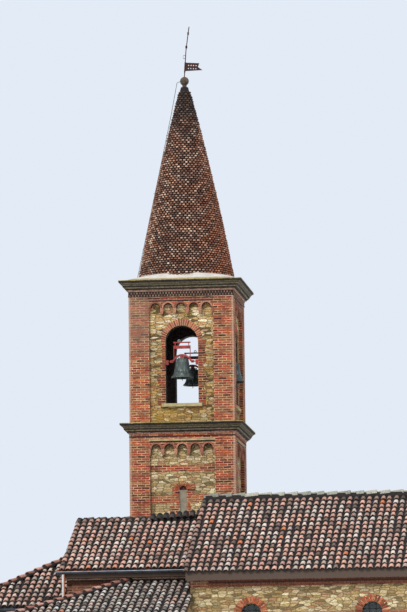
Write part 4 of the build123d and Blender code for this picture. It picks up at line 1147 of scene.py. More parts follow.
PRESBYTERY_NEAR = Slope(
    "presbytery_near", (-2.76, RIDGE_Y - PRESBYTERY_RUN, 5.159), (1, 0), PRESBYTERY_RUN, 0.457, 4.0
)
SLOPES = (
    Slope("nave_near", (1.14, RIDGE_Y - NAVE_RUN, 4.908), (1, 0), NAVE_RUN, NAVE_PITCH, 10.97),
    Slope("nave_far", (12.11, RIDGE_Y + NAVE_RUN, 4.908), (-1, 0), NAVE_RUN, NAVE_PITCH, 10.97),
    PRESBYTERY_NEAR,
    Slope("presbytery_far", (1.24, RIDGE_Y + PRESBYTERY_RUN, 5.159), (-1, 0), PRESBYTERY_RUN, 0.457, 4.0),
    Slope("choir_near", (-5.94, RIDGE_Y - PRESBYTERY_RUN, 4.094), (1, 0), PRESBYTERY_RUN, 0.446, 3.28, left_cut=0.717),
    Slope("choir_far", (-2.66, RIDGE_Y + PRESBYTERY_RUN, 4.094), (-1, 0), PRESBYTERY_RUN, 0.446, 3.28, right_cut=0.717),
    Slope("choir_end", (-5.94, RIDGE_Y + PRESBYTERY_RUN, 4.094), (0, -1), 3.18, 0.568, 8.1, 1.108, 1.108),
    Slope("chapel_near", (-4.2, -13.08, 3.433), (1, 0), 3.9, 0.348, 5.45, left_cut=0.85),
    Slope("chapel_side", (-4.2, -9.18, 3.433), (0, -1), 3.51, 0.387, 3.9, right_cut=1.036),
)


@dataclass
class TileRoof(Assembly):
    """Coppi over every slope: channels laid hollow side up, covers over their joints, caps on ridges and hips."""

    pitch: float = 0.205
    exposure: float = 0.37
    tile_length: float = 0.45
    wide: float = 0.083
    narrow: float = 0.068
    thick: float = 0.016
    overhang: float = 0.05
    cap_length: float = 0.46
    nave_ridge: float = 7.67
    presbytery_ridge: float = 7.0
    choir_apex: tuple[float, float, float] = (-2.8, RIDGE_Y, 5.99)
    nave_eaves: float = 4.9
    tower_clear: float = 1.74
    nave_verge: tuple[float, float, float] = (1.2, 1.5, -11.0)
    choir_gutter: tuple[float, float, float] = (-3.29, -2.6, -9.16)
    shade_and_damp_middle: float = 0.4
    shade_and_damp_reach: float = 0.8
    step_covers: int = 9
    step_start: float = 2.275
    sway: float = 0.011
    slip: float = 0.015
    roll: float = 0.08
    twist: float = 0.045
    seed: int = 7

    def coppo(self, name: str, wide: float, narrow: float, length: float, sides: int = 12) -> Piece:
        """Half-round tapered tile, its wide end down the slope; one of fewer sides is laid hollow side up.

        Args:
            name: Name of the shape.
            wide: Radius at its lower end.
            narrow: Radius at its upper end.
            length: Its length.
            sides: Flat sides of the whole circle: 12 for a cover and 8 for a channel.

        Returns:
            The closed shell, its lower end at the origin.
        """
        clear_hands()
        bpy.ops.mesh.primitive_cone_add(
            vertices=sides,
            radius1=wide,
            radius2=narrow,
            depth=length,
            end_fill_type="NOTHING",
            location=(0, length / 2, 0),
            rotation=(-math.pi / 2, 0, 0),
        )
        piece = take(name)
        cuts = [(0, (0, 0, 1), True), *((share * length, (0, 1, 0), False) for share in (0.48, 0.66))]
        if sides < 12:
            cuts = [(0, (0, 0, -1), True)]
        bpy.ops.object.mode_set(mode="EDIT")
        for along, way, halved in cuts:
            bpy.ops.mesh.select_all(action="SELECT")
            bpy.ops.mesh.bisect(plane_co=(0, along, 0), plane_no=way, clear_inner=halved)
        bpy.ops.object.mode_set(mode="OBJECT")
        finish_with(piece, "SOLIDIFY", thickness=self.thick, offset=-1.0)
        # Painted shade: dark on the flanks and on the upper end, which the next tile's lip shades
        paint_shade_depth(piece, lambda at: max(1 - at.z / wide, (at.y / length - 0.4) * 3.5))
        return piece

    def blocked(self, slope: Slope, point: Vector) -> bool:
        """Whether the tower or another roof stands where a tile would lie.

        Args:
            slope: The slope that the tile is on.
            point: Where the tile would lie.

        Returns:
            True where no tile goes.
        """
        in_tower = max(abs(point.x), abs(point.y)) < self.tower_clear
        nave_top = self.nave_eaves + NAVE_PITCH * (NAVE_RUN - abs(point.y - RIDGE_Y)) - 0.1
        left, right, front = self.nave_verge
        under_nave = left < point.x < right and point.y > front and point.z < nave_top
        left, right, back = self.choir_gutter
        under_gutter = slope.name == "choir_near" and left < point.x < right and point.y < back
        return in_tower or under_nave or under_gutter

    def lay(self, slope: Slope, channels: bool) -> list[Place]:
        """Places of the covers or of the channels on one slope.

        Args:
            slope: The slope.
            channels: Whether the channels are laid, instead of the covers.

        Returns:
            One place for each tile.
        """
        self.dice = random.Random(f"{self.seed} {slope.name} {channels}")
        columns, rows = round(slope.width / self.pitch), math.ceil(slope.rise / self.exposure)
        pitch, exposure = slope.width / columns, slope.rise / rows
        start, last, lift, slack = (0.5, columns - 1, self.wide, 0.7) if channels else (0.0, columns, 0.03, 1.0)
        tilt = -math.atan2(self.thick + 0.004, exposure) * slack
        places = []
        for column in range(last + 1):
            across = pitch * (column + start)
            sway = 0.0
            for row in range(rows):
                sway = 0.6 * sway + self.stray(self.sway)
                climb = row * exposure - self.overhang
                if not slope.covers(across, climb + self.tile_length / 2):
                    continue
                up = climb + self.stray(self.slip)
                at = slope.point(across + sway, up, lift + 0.012 + self.within(0.0, 0.008))
                if self.blocked(slope, at + Vector((0, 0, 0.05))):
                    continue
                turn = self.settled(slope.axes, tilt, self.roll, self.twist)
                cut = min(1.0, (slope.rise + 0.02 - climb) / self.tile_length)
                size = (self.within(0.94, 1.06), cut, self.within(0.92, 1.08))
                tint = self.within(0.04, 1.0)
                if not channels and column == 0 and not slope.left_cut:
                    tint = self.within(0.03, 0.3)
                # Painted shade: the top row of covers darker under the ridge, and near black along the presbytery's
                # ridge step, for shade and damp there
                if not channels and row == rows - 1:
                    shade_and_damp = abs(at.x - self.shade_and_damp_middle) < self.shade_and_damp_reach and slope is PRESBYTERY_NEAR
                    tint = self.within(0.0, 0.02) if shade_and_damp else tint / 3
                places.append(Place(at, turn, size, tint))
        return places

    def cap_line(self, start: Vector, end: Vector, step: float, drop: float) -> Iterator[Place]:
        """Places of caps laid end over end from a low point to a high one.

        Args:
            start: Lower end.
            end: Upper end.
            step: How far each cap shows.
            drop: How far the caps sink in their bedding.

        Yields:
            One place for each cap.
        """
        way = end - start
        count = max(1, round(way.length / step))
        flat, up = Vector((way.y, -way.x, 0)).normalized(), way.normalized()
        axes = Matrix((flat, up, flat.cross(up))).transposed()
        for i in range(count):
            at = start + way * (i / count) + axes @ Vector((self.stray(0.008), 0, -drop))
            turn = self.settled(axes, -0.09, 0.05, 0.03)
            length = min(1.0, way.length / count / step)
            yield Place(at, turn, (1, length, self.within(0.95, 1.05)), self.dice.random())

    def build(self) -> None:
        """Lay the tiles of every slope, then the caps."""
        for slope in SLOPES:
            cover = self.coppo("cover", self.wide, self.narrow, self.tile_length)
            finish = GREY_TILE if slope.name.startswith("chapel") else TILE
            copies(finish, f"tiles_{slope.name}", cover, self.lay(slope, False))
            channel = self.coppo("channel", self.wide, self.narrow, self.tile_length, 8)
            copies(PAN, f"channels_{slope.name}", channel, self.lay(slope, True))
        self.dice = random.Random(self.seed)
        choir_hips = [((-5.92, RIDGE_Y + y, 4.18), self.choir_apex) for y in (-PRESBYTERY_RUN, PRESBYTERY_RUN)]
        chapel_hip = ((-4.17, -13.05, 3.52), (-0.69, -9.2, 4.88))
        nave_line = [((12.1, RIDGE_Y, self.nave_ridge), (1.15, RIDGE_Y, self.nave_ridge))]
        presbytery_line = [((1.1, RIDGE_Y, self.presbytery_ridge), (-2.7, RIDGE_Y, self.presbytery_ridge))]
        capped = [
            copies(
                finish,
                name,
                self.coppo("cap", wide, narrow, self.cap_length),
                [place for low, high in runs for place in self.cap_line(Vector(low), Vector(high), step, drop)],
            )
            for finish, name, wide, narrow, runs, step, drop in (
                (RIDGE_CLAY, "nave_ridge_caps", 0.115, 0.1, nave_line, 0.4, 0.01),
                (HIP_CLAY, "hip_caps", 0.125, 0.105, [*choir_hips, chapel_hip], 0.38, 0.0),
                (DARK_CLAY, "presbytery_ridge_caps", 0.12, 0.095, presbytery_line, 0.4, 0.0),
            )
        ]
        for piece in capped:
            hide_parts("ridge_tiles")
        self.bed("ridge_bedding", (1.16, -0.13, 7.42), (12.09, 0.13, 7.58), (0, 0, 0.11), (1, 0.76, 1))
        self.step()
        self.bed("ridge_step_bedding", (-0.36, -0.3, 6.9), (1.14, 0.1, 7.06), (0, 0.06, 0.06), (0.94, 0.6, 1))

    def bed(self, name: str, low: Point, high: Point, move: Point, size: Point) -> None:
        """Pack mortar between two corners measured from the ridge's line, drawn up by a step that is narrower."""
        ridge = Vector((0, RIDGE_Y, 0))
        RIDGE_BED.dress(draw_out(block(name, ridge + Vector(low), ridge + Vector(high)), Way.UP, (move, size)))

    def step(self) -> None:
        """Lay a few covers painted dark for shade over the presbytery's ridge, where it steps up to the nave."""
        slope, places = PRESBYTERY_NEAR, []
        for i in range(self.step_covers):
            at = slope.point(self.step_start + self.pitch * i, slope.rise - 0.36, 0.071 + 0.014 * i)
            turn = self.settled(slope.axes, 0.06, 0.06, 0.03)
            places.append(Place(at, turn, (1.0, 0.9, 1.0), self.within(0.0, 0.4)))
        copies(DARK_CLAY, "ridge_step_covers", self.coppo("step_cover", 0.09, 0.085, self.tile_length), places)


@dataclass
class Spire(Assembly):
    """Rough headers standing out of the brick cone, offset from course to course."""

    base_radius: float = 1.54
    top_radius: float = 0.118
    height: float = 6.45
    entasis: float = 0.066
    pitch: float = 0.118
    course: float = 0.074
    first_course: float = 0.06
    seed: int = 11

    def radius(self, z: float) -> float:
        """Radius of the cone at a height."""
        share = (z - TOP_CORNICE) / self.height
        return self.base_radius + (self.top_radius - self.base_radius) * share + 4 * self.entasis * share * (1 - share)

    def header(self) -> Piece:
        """Model one brick end facing -Y, its arrises worn back.

        Returns:
            The brick end, round the origin.
        """
        piece = block("header", (-0.04, -0.034, -0.024), (0.04, 0.03, 0.024))
        draw_out(piece, Way.FRONT, ((0, -0.014, 0), (0.72, 1, 0.66)))
        # Painted shade: dark on the brick end's sides, light on its face
        paint_shade_depth(piece, lambda at: 0.0 if at.y < -0.045 else (0.55 if at.y < -0.02 else 1.0))
        return piece

    def build(self) -> None:
        """Set a ring of headers in every course."""
        places = []
        for row in range(int((self.height - 2 * self.first_course) / self.course)):
            z = TOP_CORNICE + self.first_course + row * self.course
            radius = self.radius(z)
            count = max(6, round(2 * math.pi * radius / self.pitch))
            for i in range(count):
                angle = 2 * math.pi * (i + 0.5 * (row % 2)) / count
                out = radius - 0.006 + self.stray(0.012)
                at = (out * math.sin(angle), -out * math.cos(angle), z + self.stray(0.004))
                turn = (self.stray(0.1), 0, angle + self.stray(0.12))
                size = (self.within(0.85, 1.1), 1, self.within(0.85, 1.1))
                places.append(Place(at, turn, size, self.dice.random()))
        copies(HEADER_BRICK, "spire_headers", self.header(), places)


@dataclass
class TowerTrim(Assembly):
    """Bricks that stand out of the tower's faces: voussoirs, arcade rings, corbels, dogtooth courses and strings."""

    voussoirs: int = 27
    slit_voussoirs: int = 11
    slit_radius: float = 0.115
    arches: int = 5
    belfry_arches: float = 14.03
    shaft_arches: float = 9.555
    tooth_pitch: float = 0.092
    tooth_low: float = 14.385
    tooth_rows: int = 2
    ring_inner: float = 0.148
    ring_outer: float = 0.2
    ring_steps: int = 10
    end_corbel: float = 0.55
    seed: int = 5

    def corbel(self) -> Piece:
        """Model the stepped corbel under the feet of two arches.

        Returns:
            The corbel, at the middle of its top step.
        """
        piece = block("corbel", (-0.052, -0.024, -0.07), (0.052, 0.06, 0.035))
        return draw_out(piece, Way.DOWN, ((0, 0, -0.06), (0.72, 0.8, 1)), ((0, 0, -0.04), (0.6, 0.7, 1)))

    def tooth(self) -> Piece:
        """Model a brick set cornerwise.

        Returns:
            The brick, one course high, round the origin.
        """
        piece = block("tooth", (-0.031, -0.031, -0.029), (0.031, 0.031, 0.029))
        piece.rotation_euler = (0, 0, math.pi / 4)
        bpy.ops.object.transform_apply(rotation=True)
        return finish_with(piece, "BEVEL", width=0.004, segments=1)

    def teeth(self) -> Iterator[Place]:
        """Courses of teeth round the belfry.

        Yields:
            One place for each tooth.
        """
        half = BELFRY_HALF
        count = round(2 * half / self.tooth_pitch)
        for side in Side:
            for row in range(self.tooth_rows):
                for i in range(count - row % 2):
                    x = -half + 2 * half * (i + 0.5 + 0.5 * (row % 2)) / count
                    at = side.turned((x, -half + 0.02, self.tooth_low + (row + 0.5) * COURSE))
                    yield Place(at, side.turn, tint=self.dice.random())

    def strings(self) -> None:
        """Flat courses round the faces: sheets painted black as the shade behind the teeth and along the strings, a red
        string and a pale one.
        """
        for name, half, reach, low, high, proud, finish in (
            ("tooth_recess_top", BELFRY_HALF, BELFRY_HALF, 14.38, 14.55, 0.004, PAINTED_SHADE),
            ("shadow_string", BELFRY_HALF, 1.015, 14.232, 14.262, 0.007, PAINTED_SHADE),
            ("header_string", BELFRY_HALF, 1.04, 14.262, 14.3, 0.02, STRING_BRICK),
            ("thin_string", BELFRY_HALF, 1.04, 14.335, 14.355, 0.012, PAINTED_SHADE),
            ("tooth_recess_middle", SHAFT_HALF, SHAFT_HALF, 9.925, 9.965, 0.004, PAINTED_SHADE),
            ("pale_string", SHAFT_HALF, 1.03, 9.80, 9.85, 0.022, SILL),
            ("dark_string", SHAFT_HALF, 1.03, 9.755, 9.80, 0.006, PAINTED_SHADE),
        ):
            piece = chamfered(name, (-reach, -half - proud, low), (reach, -half + 0.05, high), 0.002)
            copies(finish, name, piece, FOUR_FACES)

    def build(self) -> None:
        """Place every repeated brick on the four faces."""
        inner = OPENING_HALF + 0.004
        ring, arcs, feet = [], [], []
        for side in Side:
            for cos, sin, turn in fan(side, self.voussoirs):
                at = side.turned((inner * cos, -BELFRY_HALF + RECESS - 0.012, SPRINGING + inner * sin))
                length = 0.13 + 0.07 * sin
                size = (self.within(0.7, 0.84), self.within(0.8, 1.1), length * self.within(0.94, 1.03))
                ring.append(Place(at, turn, size, self.dice.random()))
            for half, springing in ((BELFRY_HALF, self.belfry_arches), (SHAFT_HALF, self.shaft_arches)):
                reach, count = half - PIER, self.arches
                for i in range(count):
                    at = side.turned((-reach + 2 * reach * (i + 0.5) / count, -half, springing))
                    arcs.append(Place(at, side.turn, tint=self.dice.random()))
                for i in range(count + 1):
                    at = side.turned((-reach + 2 * reach * i / count, -half, springing - 0.04))
                    breadth = self.end_corbel if i in (0, count) else 1.0
                    feet.append(Place(at, side.turn, (breadth, 1, 1), self.dice.random()))
        copies(VOUSSOIR_BRICK, "voussoirs", voussoir(), ring)
        middle, breadth = (self.ring_inner + self.ring_outer) / 2, self.ring_outer - self.ring_inner
        arch = spun("arch_ring", [(middle, -0.008, breadth, 0.05)], self.ring_steps, math.pi)
        copies(RING_BRICK, "arcade_rings", arch, arcs)
        # Painted shade: a black half ring just inside the head of each arch
        soot = spun("soot_arc", [(self.ring_inner - 0.01, 0.024, 0.026, 0.06)], self.ring_steps, math.pi)
        copies(PAINTED_SHADE, "arcade_soot", soot, arcs)
        copies(RING_BRICK, "corbels", self.corbel(), feet)
        copies(TOOTH_BRICK, "dogtooth_top", self.tooth(), list(self.teeth()))
        self.strings()
        self.slit()

    def slit(self) -> None:
        """Fill the blind slits with plaster up to their springing, and ring their heads with bricks."""
        filling = block("slit_filling", (-0.112, -1.528, 7.24), (0.112, -1.45, SLIT_SPRINGING - 0.02))
        pick(filling, Way.FRONT)
        bpy.ops.mesh.subdivide(number_cuts=3, fractal=0.006, seed=self.seed)
        bpy.ops.object.mode_set(mode="OBJECT")
        copies(PLASTER, "slit_fillings", filling, FOUR_FACES)
        places = []
        for side in Side:
            for cos, sin, turn in fan(side, self.slit_voussoirs):
                at = side.turned((self.slit_radius * cos, -1.56, SLIT_SPRINGING + self.slit_radius * sin))
                size = (self.within(0.5, 0.62), 0.8, self.within(0.13, 0.16))
                places.append(Place(at, turn, size, self.dice.random()))
        copies(VOUSSOIR_BRICK, "slit_voussoirs", voussoir(), places)
        stone = block("pale_block", (0.86, -1.575, 8.11), (0.99, -1.5, 8.24))
        PALE_STONE.dress(finish_with(stone, "BEVEL", width=0.012, segments=2))


@dataclass(frozen=True)
class Opening:
    """A round-headed opening: where the middle of its foot meets the wall's face, and its sizes."""

    side: Side
    x: float
    y: float
    half: float
    sill: float
    springing: float

    def point(self, across: float, deep: float, up: float) -> Vector:
        """Point across the opening, behind the wall's face and up from the floor."""
        return Vector((self.x, self.y, up)) + self.side.turned((across, deep, 0))


WINDOWS = (
    *(
        Opening(side, x, y, 0.3, 2.6, 3.7)
        for side, y in ((Side.FRONT, RIDGE_Y - 5.3), (Side.BACK, RIDGE_Y + 5.3))
        for x in (3.042, 6.625, 10.208)
    ),
    Opening(Side.LEFT, -5.64, RIDGE_Y, 0.3, 2.525, 3.4),
    Opening(Side.FRONT, -1.35, -12.83, 0.3, 1.3, 2.1),
)
PORTAL = Opening(Side.RIGHT, 12.0, RIDGE_Y, 0.75, 0.0, 2.15)
OCULUS = Opening(Side.RIGHT, 12.0, RIDGE_Y, 0.45, 5.3, 5.3)


@dataclass
class Surrounds(Assembly):
    """Brick arches and jambs, stone sills and iron bars of the windows, the portal and the round window."""

    arch_brick: float = 0.075
    bar: float = 0.016
    bar_depth: float = 0.12
    level_bars: int = 5
    door_face: float = 0.24
    stud_pitch: float = 0.15
    seed: int = 3

    def arch(self, opening: Opening) -> Iterator[Place]:
        """Bricks on edge round the head of an opening, or all round one that has no jambs.

        Args:
            opening: The opening.

        Yields:
            One place for each brick.
        """
        sweep = 2 * math.pi if opening is OCULUS else math.pi
        inner = opening.half + 0.004
        for cos, sin, turn in fan(opening.side, round(sweep * (opening.half + 0.08) / self.arch_brick), sweep):
            at = opening.point(inner * cos, -0.004, opening.springing + inner * sin)
            size = (self.within(0.95, 1.1), self.within(0.8, 1.1), 0.2 * self.within(0.95, 1.05))
            yield Place(at, turn, size, self.dice.random())

    def jambs(self, opening: Opening) -> Iterator[Place]:
        """Headers and stretchers up both sides of an opening.

        Args:
            opening: The opening.

        Yields:
            One place for each brick.
        """
        for row in range(int((opening.springing - opening.sill) / COURSE)):
            length, reach = (1.0, 0.13) if row // 2 % 2 == 0 else (0.5, 0.068)
            for side in (-1, 1):
                at = opening.point(side * (opening.half + reach), 0.0, opening.sill + (row + 0.5) * COURSE)
                yield Place(at, opening.side.turn, (length, self.within(0.8, 1.1), 1), self.dice.random())

    def bars(self, opening: Opening) -> Iterator[Place]:
        """Upright and level bars of a window.

        Args:
            opening: The window.

        Yields:
            One place for each bar.
        """
        low, half, deep = opening.sill, opening.half, self.bar_depth
        for across in (-0.1, 0.1):
            head = opening.springing + math.sqrt(half**2 - across**2)
            yield Place(opening.point(across, deep, low - 0.02), opening.side.turn, (1, 1, head - low + 0.04))
        for i in range(1, self.level_bars + 1):
            up = low + (opening.springing - low + 0.1) * i / self.level_bars
            level = opening.side.leant(math.pi / 2)
            yield Place(opening.point(-half - 0.02, deep, up), level, (1, 1, 2 * half + 0.04))

    def sill(self) -> Piece:
        """Model a sill slab with a sloped top, its front edge undercut.

        Returns:
            The slab, for an opening 600 mm wide, its top at the origin.
        """
        piece = block("sill_slab", (-0.4, -0.06, -0.09), (0.4, 0.25, 0.0))
        draw_out(piece, Way.FRONT, ((0, -0.03, 0.006), (1, 1, 0.7)))
        return finish_with(piece, "BEVEL", width=0.004, segments=1)

    def door_irons(self) -> None:
        """Fix strap hinges, studs and a ring handle to the door."""
        strap = draw_out(block("strap", (-0.3, -0.006, -0.03), (0.3, 0.0, 0.03)), Way.RIGHT, (None, (1, 1, 0.4)))
        finish_with(strap, "BEVEL", width=0.002, segments=1)
        turn = PORTAL.side.turn
        places = [
            Place(PORTAL.point(side * 0.43, self.door_face, up), (0, 0 if side < 0 else math.pi, math.pi / 2))
            for up in (0.45, 1.3, 2.15)
            for side in (-1, 1)
        ]
        copies(DARK_IRON, "door_straps", strap, places)
        stud = draw_out(round_head("stud", 8, 0.014, 0.008), Way.FRONT, ((0, -0.006, 0), (0.4, 1, 0.4)))
        studs = [
            Place(PORTAL.point(-0.6 + self.stud_pitch * i, self.door_face, up), turn)
            for up in (0.25, 0.8, 1.0, 1.6, 1.8, 2.35)
            for i in range(9)
        ]
        copies(DARK_IRON, "door_studs", stud, studs)
        handle = spun("handle", [(0.06, 0.0, 0.012, 0.012)], 20)
        copies(DARK_IRON, "door_ring", handle, [Place(PORTAL.point(0.08, self.door_face - 0.012, 1.12), turn)])

    def build(self) -> None:
        """Set the bricks, sills and bars of every opening, then the door's ironwork."""
        heads = [place for opening in (*WINDOWS, PORTAL, OCULUS) for place in self.arch(opening)]
        copies(VOUSSOIR_BRICK, "opening_arches", voussoir(), heads)
        sides = [place for opening in (*WINDOWS, PORTAL) for place in self.jambs(opening)]
        stretcher = chamfered("jamb_brick", (-0.125, -0.012, -0.031), (0.125, 0.03, 0.031), 0.005)
        copies(VOUSSOIR_BRICK, "opening_jambs", stretcher, sides)
        slabs = [Place(opening.point(0, 0, opening.sill + 0.002), opening.side.turn) for opening in WINDOWS]
        copies(SILL, "window_sills", self.sill(), slabs)
        half = self.bar / 2
        upright = chamfered("iron_bar", (-half, -half, 0), (half, half, 1), 0.003)
        copies(DARK_IRON, "window_bars", upright, [place for opening in WINDOWS for place in self.bars(opening)])
        self.door_irons()


@dataclass
class BellTrim:
    """Raised rings, cannons and headstock fittings of one bell."""

    side: Side
    body: Body
    share: float = 1.0
    axis_out: float = 1.46
    axis_up: float = 12.331
    radius: float = 0.37
    height: float = 0.61
    crown: float = 0.08
    profile: tuple[tuple[float, float], ...] = (
        (1.0, 0.0), (0.86, 0.09), (0.74, 0.24), (0.63, 0.55), (0.58, 0.87), (0.52, 0.96), (0.4, 1.0)
    )
    rings: tuple[tuple[float, float, float], ...] = (
        (0.05, 0.022, 0.03), (0.13, 0.014, 0.014), (0.2, 0.012, 0.012), (0.3, 0.012, 0.01), (0.7, 0.012, 0.01),
        (0.78, 0.014, 0.014), (0.93, 0.02, 0.016),
    )
    bolts: tuple[tuple[float, float, float], ...] = (
        (-0.216, 0.03, 0.455), (0.216, 0.03, 0.455), (-0.33, 0.042, 0.0), (0.33, 0.042, 0.0), (0.0, 0.042, 0.17)
    )

    def waist(self, up: float) -> float:
        """Radius of the bell at a share of its height.

        Args:
            up: Share of the height over the mouth.

        Returns:
            The radius as a share of the mouth's.
        """
        for (wide, low), (narrow, high) in zip(self.profile, self.profile[1:]):
            if up <= high:
                return wide + (narrow - wide) * (up - low) / (high - low)
        return self.profile[-1][0]

    def place(self, x: float, out: float, up: float, angle: float = 0.0) -> Place:
        """Place of a piece on the headstock.

        Args:
            x: Distance along the headstock from its middle.
            out: Distance behind the axis.
            up: Height over the axis.
            angle: Turn of the piece about the upright.

        Returns:
            The place in the bell's own opening.
        """
        at = Vector((0, 0, self.axis_up)) + self.side.turned((0, -self.axis_out, 0)) + self.side.turned((x, out, up))
        return Place(at, (0, 0, self.side.yaw + angle))

    def add(self, finish: Finish, kind: str, shape: Piece, places: Sequence[Place]) -> None:
        """Add copies of a shape that ride on this bell."""
        copies(finish, f"{kind}_{self.side.name.lower()}", shape, places, self.body)

    def build(self) -> None:
        """Cast the rings round the bell, and bolt the headstock together."""
        high = self.height * self.share
        sections = [
            (self.radius * self.share * self.waist(up) + 0.001, self.crown - high + high * up, out, tall)
            for up, out, tall in self.rings
        ]
        upright = Place(self.place(0, 0, 0).at, self.side.leant(math.pi / 2, "X"))
        self.add(BRONZE, "bell_rings", spun("bell_rings", sections, 28), [upright])
        loops = [
            self.place(x, 0, self.crown - 0.01, angle)
            for x, angle in ((-0.095, 0.0), (0.095, 0.0), (-0.03, math.pi / 2), (0.03, math.pi / 2))
        ]
        self.add(BRONZE, "bell_cannons", spun("cannon", [(0.045, 0.0, 0.024, 0.03)], 10, math.pi), loops)
        bolt = round_head("bolt", 6, 0.022, 0.014)
        pick(bolt, Way.FRONT)
        bpy.ops.mesh.inset(thickness=0.009)
        bpy.ops.mesh.extrude_region_move(TRANSFORM_OT_translate={"value": (0, -0.014, 0)})
        bpy.ops.object.mode_set(mode="OBJECT")
        bolts = [
            self.place(x, facing * out, up, angle)
            for x, out, up in self.bolts
            for facing, angle in ((-1, 0.0), (1, math.pi))
        ]
        self.add(RED_IRON, "headstock_bolts", bolt, bolts)
        eye = spun("lifting_eye", [(0.034, 0.0, 0.018, 0.022)], 16)
        self.add(BEAD_ZINC, "lifting_eye", eye, [self.place(-0.09, 0, 0.655)])


@dataclass
class RodWire:
    """Tie wire left on the rod over the vane: one open loop and two tight coils."""

    loop_radius: float = 0.045
    coil_radius: float = 0.02

    def build(self) -> None:
        """Bend the loop and the coils."""
        loop = spun("rod_loop", [(self.loop_radius, 0.0, 0.011, 0.011)], 16)
        copies(RUST, "rod_loop", loop, [Place((0.0, 0.0, 22.34), (0, 0.1, 0.2), (0.8, 1, 1.3))])
        turns = [(self.coil_radius, along, 0.012, 0.014) for along in (-0.03, -0.01, 0.012, 0.034)]
        places = [
            Place((x, 0.0, z), (math.pi / 2, 0.0, 0.1), (size, 1, size))
            for x, z, size in ((0.074, 22.66, 1.3), (0.136, 23.1, 1.1))
        ]
        copies(RUST, "rod_coils", spun("rod_coil", turns, 12), places)


@dataclass
class Rainwater:
    """Rolled bead, brackets and flashing of the presbytery's gutter."""

    start: tuple[float, float, float] = (-2.92, -9.63, 5.12)
    end: float = 1.13
    middle: float = -9.555
    bracket_step: float = 0.8
    first_bracket: float = 0.2

    def bead(self) -> Piece:
        """Model a metre of rolled edge with a lapped joint.

        Returns:
            The bead along X from the origin.
        """
        piece = finish_with(block("bead", (0, -0.013, -0.011), (1, 0.009, 0.011)), "BEVEL", width=0.007, segments=2)
        return draw_out(piece, Way.RIGHT, ((0.012, 0, 0), (1, 0.85, 0.85)))

    def bracket(self) -> Piece:
        """Model the strap that goes under the gutter and up its front.

        Returns:
            The strap, round the middle of the gutter's mouth.
        """
        piece = spun("bracket", [(0.0785, 0.0, 0.005, 0.03)], 8, math.pi)
        bpy.ops.object.mode_set(mode="EDIT")
        bpy.ops.mesh.select_all(action="SELECT")
        bpy.ops.transform.rotate(value=math.pi, orient_axis="Y", center_override=(0, 0, 0))
        bpy.ops.object.mode_set(mode="OBJECT")
        return piece

    def flashing(self) -> Piece:
        """Fold the sheet that leads water from the lowest tiles into the gutter.

        Returns:
            The sheet in its place.
        """
        sheet = block("gutter_flashing", (self.start[0], -9.49, 5.1), (-0.1, -9.484, 5.18))
        return draw_out(sheet, Way.UP, ((0, 0.05, 0.03), None))

    def build(self) -> None:
        """Fix the bead, the flashing and the brackets along the gutter."""
        x, y, z = self.start
        length = self.end - x
        count = math.ceil(length)
        beads = [Place((x + length * i / count, y, z), size=(length / count, 1, 1)) for i in range(count)]
        copies(BEAD_ZINC, "gutter_bead", self.bead(), beads)
        PRIMER.dress(self.flashing())
        straps = [
            Place((x + self.first_bracket + i * self.bracket_step, self.middle, z), (0, 0, math.pi / 2))
            for i in range(int(length / self.bracket_step) + 1)
        ]
        copies(RUST, "gutter_brackets", self.bracket(), straps)


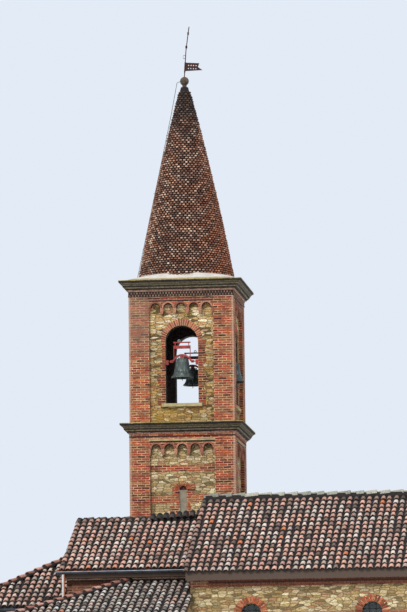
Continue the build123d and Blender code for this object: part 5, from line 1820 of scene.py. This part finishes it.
@dataclass
class Studio:
    """Pale floor, soft light and the camera."""

    eye: tuple[float, float, float] = (18.444, -160.367, -6.433)
    yaw: float = 6.372
    pitch: float = 7.31
    roll: float = -0.639
    lens: float = 300.0
    floor_radius: float = 44.0
    sun_strength: float = 1.9
    sun_spread: float = 25.0
    sun_way: tuple[float, float, float] = (-0.25, -0.8, 0.75)
    sky_strength: float = 0.75

    def camera(self) -> None:
        """Place the camera where the picture was taken."""
        yaw, pitch, roll = (math.radians(x) for x in (self.yaw, self.pitch, self.roll))
        ahead = Vector((-math.sin(yaw) * math.cos(pitch), math.cos(yaw) * math.cos(pitch), math.sin(pitch)))
        right = Vector((math.cos(yaw), math.sin(yaw), 0))
        turned = math.cos(roll) * right + math.sin(roll) * right.cross(ahead)
        data = bpy.data.cameras.new("camera")
        data.lens, data.sensor_width = self.lens, 36.0
        data.clip_start, data.clip_end = 1.0, 1000.0
        camera = bpy.data.objects.new("camera", data)
        axes = Matrix((turned, turned.cross(ahead), -ahead)).transposed().to_4x4()
        camera.matrix_world = Matrix.Translation(self.eye) @ axes
        bpy.context.scene.collection.objects.link(camera)
        bpy.context.scene.camera = camera

    def floor(self) -> None:
        """Lay a round pale floor just under the walls."""
        clear_hands()
        bpy.ops.mesh.primitive_circle_add(
            vertices=96, radius=self.floor_radius, fill_type="NGON", location=(0, 0, -0.003)
        )
        disc = take("floor")
        made = bpy.data.materials.new("floor_paint")
        made.use_nodes = True
        shader = made.node_tree.nodes["Principled BSDF"]
        shader.inputs["Base Color"].default_value = linear("e4e4e2")
        shader.inputs["Roughness"].default_value = 0.9
        disc.data.materials.append(made)

    def light(self) -> None:
        """Light the church by a pale sky and one broad lamp in front, high and a little to the left."""
        world = bpy.data.worlds.new("studio")
        bpy.context.scene.world = world
        world.use_nodes = True
        tree = world.node_tree
        tree.nodes.remove(tree.nodes["Background"])
        add = partial(add_node, tree)
        rays = add("LightPath").node.outputs
        seen = add("Math MAXIMUM", rays["Is Camera Ray"], rays["Is Glossy Ray"])
        seen = add("Math MAXIMUM", seen, rays["Is Transmission Ray"])
        soft = add("Background", "eef3fb", self.sky_strength)
        mixed = add("MixShader", seen, soft, add("Background", "e3ebf6", 1.0))
        tree.links.new(mixed, tree.nodes["World Output"].inputs["Surface"])
        lamp = bpy.data.lights.new("broad_lamp", "SUN")
        lamp.energy, lamp.angle = self.sun_strength, math.radians(self.sun_spread)
        sun = bpy.data.objects.new("broad_lamp", lamp)
        sun.rotation_euler = Vector(self.sun_way).to_track_quat("Z", "Y").to_euler()
        bpy.context.scene.collection.objects.link(sun)

    def build(self) -> None:
        """Set up the whole studio."""
        bpy.context.scene.view_settings.view_transform = "Standard"
        self.camera()
        self.floor()
        self.light()


def dress_solids() -> None:
    """Give every solid of the model its finish."""
    for name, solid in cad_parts.items():
        finish = NODE_FINISHES.get(name, DECK if "roof" in name else RUBBLE_CHURCH)
        solid.data.materials.clear()
        solid.data.materials.append(finish.material())
        log.info("%s: %s", name, finish.name)


def main() -> None:
    """Build the studio and every sub-assembly in order."""
    logging.basicConfig(level=logging.INFO, format="%(name)s: %(message)s")
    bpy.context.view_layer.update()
    clear_hands()
    Studio().build()
    dress_solids()
    for assembly in (
        TileRoof(),
        Spire(),
        TowerTrim(),
        Surrounds(),
        Rainwater(),
        RodWire(),
        BellTrim(Side.FRONT, Body.SWING_FRONT),
        BellTrim(Side.RIGHT, Body.SWING_RIGHT),
        BellTrim(Side.BACK, Body.SWING_BACK, share=0.86),
    ):
        assembly.build()


if __name__ == "__main__":
    main()
